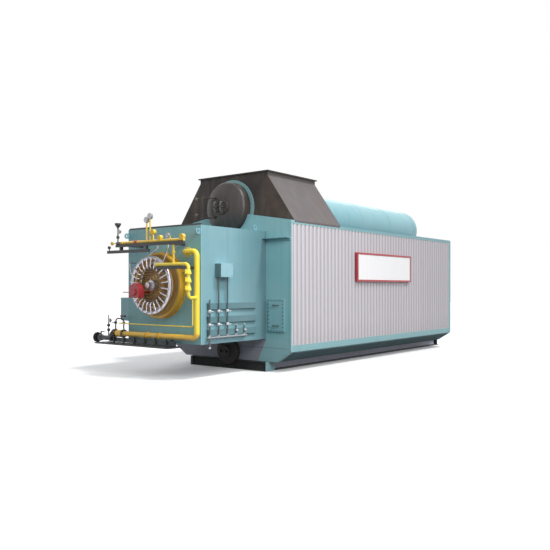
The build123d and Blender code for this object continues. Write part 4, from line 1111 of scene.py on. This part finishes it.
@dataclass
class GasTrain(Assembly):
    """The yellow gas piping with its valves, gauges, frames and rack."""

    gas_y: float = -5.671
    gas_z: float = 0.765
    low_run: Zone = Zone((255, 203, 60), (-1.8, -5.8, 0.6), (1.2, -5.4, 0.84))
    gasket: Hoop = Hoop(inner=0.058, outer=0.064, back=-0.003, front=0.003, steps=32)
    gasket_places: tuple[float, ...] = (-0.29, 0.045)
    flange_place: tuple[float, float] = (0.66, 2.285)
    flange_out: float = 0.022
    flange_circle: float = 0.072
    flange_bolt: HeadSize = HeadSize(0.024, 0.016)
    vent_places: tuple[float, ...] = (-1.21, -0.967)
    vent_flange_half: float = 0.01
    vent_circle: float = 0.068
    vent_bolt: HeadSize = HeadSize(0.02, 0.014)
    bolt_count: int = 8
    dials: tuple[Point, ...] = ((-1.322, -5.713, 1.01), (-0.695, -5.988, 2.694), (0.62, -5.988, 2.56))
    dial_radius: float = 0.036
    dial_out: float = 0.026
    dial_thick: float = 0.001
    dial_sides: int = 40
    tick_count: int = 11
    tick_first: float = 225.0
    tick_sweep: float = 270.0
    tick_inner: float = 0.72
    tick_outer: float = 0.92
    tick_radius: float = 0.0008
    needle_angle: float = 115.0
    needle_tail: float = 0.008
    needle_reach: float = 0.75
    needle_radius: float = 0.0011
    mark_sides: int = 6
    branch: tuple[float, float] = (1.07, -5.946)
    branch_cocks: tuple[float, ...] = (1.64, 1.78, 1.918)
    branch_lever_low: Point = (-0.008, -0.075, -0.03)
    branch_lever_high: Point = (0.008, -0.05, 0.045)
    vent_cock_z: float = 0.97
    vent_lever_low: Point = (-0.006, -0.1, -0.006)
    vent_lever_high: Point = (0.006, -0.024, 0.006)
    lever_edge: float = 0.002
    deck_posts: tuple[float, ...] = (-1.264, -0.969, -0.673, -0.377, -0.081, 0.214)
    deck_ends: tuple[float, float] = (-1.44, 0.47)
    apron_y: tuple[float, float] = (-5.655, -5.645)
    apron_z: tuple[float, float] = (0.596, 0.68)
    apron_gap: float = 0.008
    apron_edge: float = 0.003
    apron_bolt: HeadSize = HeadSize(0.022, 0.012)
    apron_bolt_in: float = 0.03
    header_colour: Colour = (246, 204, 46)
    header_end: Zone = Zone((38, 38, 42), (-0.84, -6.1, 2.4), (-0.7, -5.7, 2.56))
    fitting_colour: Colour = (48, 52, 50)
    sleeve: Zone = Zone((178, 50, 44), (-0.4, -6.1, 2.4), (-0.2, -5.7, 2.56))

    def build(self) -> None:
        """Adds the gaskets, flange bolts, gauge faces, levers and deck plates."""
        self.gaskets()
        self.flange_bolts()
        self.gauge_faces()
        self.levers()
        self.apron()

    def gaskets(self) -> None:
        """Dark gaskets in the pipe's couplings."""
        mesher = Mesher()
        for x in self.gasket_places:
            mesher.ring(Vector((x, self.gas_y, self.gas_z)), Facing.RIGHT, self.gasket)
        mesher.piece("pipe_gaskets", Paint.GASKET)

    def flange_bolts(self) -> None:
        """Bolts on the flange against the windbox and on the vents' flanges."""
        mesher = Mesher()
        x, z = self.flange_place
        flange = Vector((x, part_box("windbox_front")[0].y - self.flange_out, z))
        mesher.head_circle(flange, Facing.FRONT, self.flange_circle, self.bolt_count, self.flange_bolt)
        for x in self.vent_places:
            face = Vector((x + self.vent_flange_half, self.gas_y, self.gas_z))
            mesher.head_circle(face, Facing.RIGHT, self.vent_circle, self.bolt_count, self.vent_bolt)
        mesher.piece("gas_flange_bolts", Paint.ZINC)

    def gauge_faces(self) -> None:
        """White dial faces with their marks and pointers."""
        faces = Mesher()
        marks = Mesher()
        for x, y, z in self.dials:
            back = Vector((x, y - self.dial_out, z))
            top = back + Facing.FRONT.vector * self.dial_thick
            faces.rod(back, top, self.dial_radius, self.dial_sides)
            for n in range(self.tick_count):
                way = self.hand(self.tick_first - self.tick_sweep * n / (self.tick_count - 1))
                inner = top + way * self.dial_radius * self.tick_inner
                outer = top + way * self.dial_radius * self.tick_outer
                marks.rod(inner, outer, self.tick_radius, self.mark_sides)
            needle = self.hand(self.needle_angle)
            tail = top - needle * self.needle_tail
            tip = top + needle * self.dial_radius * self.needle_reach
            marks.rod(tail, tip, self.needle_radius, self.mark_sides)
        faces.piece("gauge_faces", Paint.WHITE)
        marks.piece("gauge_marks", Paint.BLACK)

    @staticmethod
    def hand(degrees: float) -> Vector:
        """The way that a dial's hand points at an angle, from the right and up."""
        angle = math.radians(degrees)
        return Vector((math.cos(angle), 0.0, math.sin(angle)))

    def levers(self) -> None:
        """Flat levers on the branch valves and the vents."""
        mesher = Mesher()
        low, high = Vector(self.branch_lever_low), Vector(self.branch_lever_high)
        for z in self.branch_cocks:
            spot = Vector((*self.branch, z))
            mesher.bar(spot + low, spot + high, self.lever_edge)
        mesher.piece("branch_levers", Paint.YELLOW)
        mesher = Mesher()
        low, high = Vector(self.vent_lever_low), Vector(self.vent_lever_high)
        for x in self.vent_places:
            spot = Vector((x, self.gas_y, self.vent_cock_z))
            mesher.bar(spot + low, spot + high, self.lever_edge)
        mesher.piece("vent_levers", Paint.BLACK)

    def apron(self) -> None:
        """Plates between the deck's posts, behind the pipe, with bolts at their ends."""
        plates = Mesher()
        bolts = Mesher()
        places = (self.deck_ends[0], *self.deck_posts, self.deck_ends[1])
        front, back = self.apron_y
        bottom, top = self.apron_z
        for start, end in zip(places, places[1:]):
            left, right = start + self.apron_gap, end - self.apron_gap
            plates.bar((left, front, bottom), (right, back, top), self.apron_edge)
            for x in (left + self.apron_bolt_in, right - self.apron_bolt_in):
                bolts.head(Vector((x, front, (bottom + top) / 2)), Facing.FRONT, self.apron_bolt)
        plates.piece("deck_apron", Paint.DECK)
        bolts.piece("deck_apron_bolts", Paint.DARK_STEEL)

    def dress(self) -> None:
        """Paints the gas train."""
        self.paint(["branch_gas_line", "pilot_gas_line"], Paint.YELLOW.material)
        pipe = replace(Paint.YELLOW.value, name="main_pipe_yellow", zones=(self.low_run,))
        self.paint(["main_gas_pipe"], pipe.material())
        header = Enamel("header_yellow", self.header_colour, roughness=0.32, coat=0.35, fade=0.06,
                        zones=(self.header_end,))
        self.paint(["upper_gas_header"], header.material())
        black = ["gas_inlet_valve", "gas_inlet_flange", "vent_valves", "header_rack", "train_rack"]
        self.paint(black, Paint.BLACK.material)
        fitting = Enamel("header_fitting_paint", self.fitting_colour, zones=(self.sleeve,))
        self.paint(["header_fittings"], fitting.material())
        self.paint(["gas_gauges"], Paint.ZINC.material)


@dataclass
class DrainPanel(Assembly):
    """The struts, drain lines and valves on the right of the windbox."""

    # Painted shade: the struts in a darker teal for the shade bands they show.
    strut_colour: Colour = (84, 124, 131)
    pipe_x: float = 1.033
    # Painted shade: the drain risers dark grey, as steel in shadow.
    pipe_colour: Colour = (78, 86, 92)
    bright_colour: Colour = (214, 217, 220)
    valve_half: float = 0.027
    valve_rows: tuple[float, ...] = (0.985, 1.225)
    risers: tuple[float, ...] = (-5.381, -5.146, -4.911, -4.676, -4.441)
    tall_count: int = 3
    header_z: float = 0.755
    header_half: float = 0.019
    header_colour: Colour = (150, 158, 164)
    lever_low: Point = (0.026, -0.008, -0.008)
    lever_high: Point = (0.058, 0.036, 0.008)
    lever_edge: float = 0.002
    nut: HeadSize = HeadSize(0.05, 0.032)
    nut_up: float = 0.012
    knob_z: float = 0.862
    knob_out: float = 0.01
    knob: HeadSize = HeadSize(0.036, 0.03, 12)
    tip: HeadSize = HeadSize(0.044, 0.03, 12)
    tip_up: float = 0.03

    def build(self) -> None:
        """Adds the levers of the drain valves, the riser nuts and the knobs of the short risers."""
        mesher = Mesher()
        low, high = Vector(self.lever_low), Vector(self.lever_high)
        for y in self.risers[:self.tall_count]:
            for z in self.valve_rows:
                spot = Vector((self.pipe_x, y, z))
                mesher.bar(spot + low, spot + high, self.lever_edge)
        for y in self.risers[self.tall_count:]:
            mesher.head(Vector((self.pipe_x + self.knob_out, y, self.knob_z)), Facing.RIGHT, self.knob)
        tail = Vector((self.pipe_x, self.risers[0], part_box("drain_lines")[0].z + self.tip_up))
        mesher.head(tail, Facing.DOWN, self.tip)
        mesher.piece("drain_levers", Paint.WHITE)
        mesher = Mesher()
        for y in self.risers:
            mesher.head(Vector((self.pipe_x, y, self.header_z + self.nut_up)), Facing.UP, self.nut)
        mesher.piece("drain_nuts", Paint.ZINC)

    def dress(self) -> None:
        """Paints the struts and the pipes, both darkened as painted shade."""
        self.paint(["strut_rails"], Enamel("strut_enamel", self.strut_colour).material())
        low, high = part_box("drain_lines")
        rows = [(z, self.valve_half, self.bright_colour) for z in self.valve_rows]
        rows.append((self.header_z, self.header_half, self.header_colour))
        zones = [Zone(tone, (low.x, low.y, z - half), (high.x, high.y, z + half)) for z, half, tone in rows]
        pipes = Enamel("drain_pipe_paint", self.pipe_colour, zones=tuple(zones))
        self.paint(["drain_lines"], pipes.material())


@dataclass
class SignBoard(Assembly):
    """The bare white board on the side, with its red frame."""

    frame_width: float = 0.042
    frame_thick: float = 0.006
    face_depth: float = 0.0005
    board_colour: Colour = (252, 252, 253)
    edge_colour: Colour = (176, 42, 52)

    def build(self) -> None:
        """Adds the red frame."""
        low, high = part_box("sign_board")
        places = [(low.y, low.z), (high.y, low.z), (high.y, high.z), (low.y, high.z)]
        mesher = Mesher()
        corners = [Vector((high.x, y, z)) for y, z in places]
        mesher.frame(corners, self.frame_width, Facing.RIGHT.vector, self.frame_thick)
        mesher.piece("sign_frame", Paint.RED)

    def dress(self) -> None:
        """Paints the board."""
        low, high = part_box("sign_board")
        back = Zone(self.edge_colour, (low.x, low.y, low.z), (high.x - self.face_depth, high.y, high.z))
        board = Enamel("sign_enamel", self.board_colour, roughness=0.32, coat=0.3, fade=0.0, streaks=0.05,
                       zones=(back,))
        self.paint(["sign_board"], board.material())


@dataclass
class Studio:
    """The floor, the light and the camera at the photograph's place."""

    eye: Point = (9.298, -14.044, 1.65)
    heading: float = 0.665
    focal_px: float = 671.3
    horizon_px: float = 287.57
    frame_px: int = 550
    sensor: float = 36.0
    floor_half: float = 60.0
    floor_colour: Colour = (247, 247, 248)
    floor_shade: Colour = (52, 52, 54)
    floor_speckle: Pattern = Pattern(3.0, 5.0)
    floor_worn: float = 0.97
    floor_roughness: float = 0.9
    floor_glow: float = 0.14
    sky_tone: Light = (0.97, 0.985, 1.0, 1.0)
    sky_strength: float = 0.5
    sun: float = 2.15
    sun_way: Point = (-0.52, -0.12, -0.85)
    sun_spread: float = 9.0
    fill: float = 0.55
    fill_way: Point = (0.55, -0.6, -0.58)
    fill_spread: float = 50.0
    key: float = 520.0
    key_size: float = 4.0
    key_place: Point = (8.5, -8.0, 6.0)
    key_aim: Point = (1.6, -3.0, 1.7)

    def build(self) -> None:
        """Makes the stage."""
        self.floor()
        self.lights()
        self.sky()
        self.camera()

    def floor(self) -> None:
        """A pale floor that keeps the shadow and goes over to the white behind."""
        mesh = bmesh.new()
        bmesh.ops.create_grid(mesh, x_segments=1, y_segments=1, size=self.floor_half)
        data = bpy.data.meshes.new("floor")
        mesh.to_mesh(data)
        mesh.free()
        made = bpy.data.objects.new("floor", data)
        bpy.context.scene.collection.objects.link(made)
        graph = Graph(bpy.data.materials.new("pale_floor"))
        pale = linear(self.floor_colour)
        worn = dimmed(pale, self.floor_worn)
        shown = graph.shown()
        speckled = graph.blend(self.floor_speckle.level(graph), pale, worn)
        colour = graph.blend(shown, linear(self.floor_shade), speckled)
        graph.surface(base_color=colour, roughness=self.floor_roughness)
        glow = graph.node("ShaderNodeEmission", {}, {"Color": WHITE, "Strength": shown * self.floor_glow})
        paint = Wire(graph, graph.tree.nodes["Principled BSDF"].outputs[0])
        total = graph.node("ShaderNodeAddShader", {}, {0: paint, 1: glow})
        graph.feed(graph.tree.nodes["Material Output"].inputs["Surface"], total)
        data.materials.append(graph.owner)

    def lights(self) -> None:
        """A sun over the signed side, a fill behind and a soft key by the front."""
        self.far_lamp("sun", self.sun, self.sun_way, self.sun_spread)
        self.far_lamp("fill", self.fill, self.fill_way, self.fill_spread)
        soft = bpy.data.lights.new("key", "AREA")
        soft.energy = self.key
        soft.size = self.key_size
        panel = bpy.data.objects.new("key", soft)
        panel.location = self.key_place
        way = Vector(self.key_aim) - Vector(self.key_place)
        panel.rotation_euler = way.to_track_quat("-Z", "Y").to_euler()
        bpy.context.scene.collection.objects.link(panel)

    def sky(self) -> None:
        """An even sky that lights the boiler, and is seen as plain white."""
        graph = Graph(bpy.data.worlds.new("studio_sky"))
        bpy.context.scene.world = graph.owner
        plain = graph.tree.nodes["Background"]
        graph.feed(plain.inputs["Color"], self.sky_tone)
        graph.feed(plain.inputs["Strength"], self.sky_strength)
        even = Wire(graph, plain.outputs[0])
        white = graph.node("ShaderNodeBackground", {}, {"Color": WHITE})
        choice = graph.node("ShaderNodeMixShader", {}, {0: graph.shown(), 1: even, 2: white})
        graph.feed(graph.tree.nodes["World Output"].inputs["Surface"], choice)

    @staticmethod
    def far_lamp(name: str, strength: float, way: Point, spread: float) -> None:
        """A lamp that shines the same way everywhere.

        Args:
            name: the lamp's name.
            strength: its energy.
            way: the way that it shines.
            spread: how wide it looks, in degrees.
        """
        lamp = bpy.data.lights.new(name, "SUN")
        lamp.energy = strength
        lamp.angle = math.radians(spread)
        made = bpy.data.objects.new(name, lamp)
        made.rotation_euler = Vector(way).to_track_quat("-Z", "Y").to_euler()
        bpy.context.scene.collection.objects.link(made)

    def camera(self) -> None:
        """The level camera at the photograph's place."""
        lens = bpy.data.cameras.new("camera")
        lens.sensor_width = self.sensor
        lens.lens = self.focal_px / self.frame_px * self.sensor
        lens.shift_y = (self.horizon_px - self.frame_px / 2) / self.frame_px
        made = bpy.data.objects.new("camera", lens)
        made.location = self.eye
        made.rotation_euler = (math.pi / 2, 0.0, self.heading)
        bpy.context.scene.collection.objects.link(made)
        bpy.context.scene.camera = made


def main() -> None:
    """Loads the frame, dresses it, adds the small pieces and sets the stage."""
    logging.basicConfig(level=logging.INFO, format="%(name)s: %(message)s")
    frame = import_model()
    nodes = frame["nodes"]
    kinds = (Skid, Casing, SteamDrum, MudDrum, FlueHood, Windbox, BurnerFront, GasTrain, DrainPanel,
             SignBoard)
    for kind in kinds:
        assembly = kind(nodes)
        assembly.dress()
        assembly.build()
        LOG.info("%s is done", kind.__name__)
    Studio().build()
    bpy.context.scene.view_settings.view_transform = "Standard"


if __name__ == "__main__":
    main()
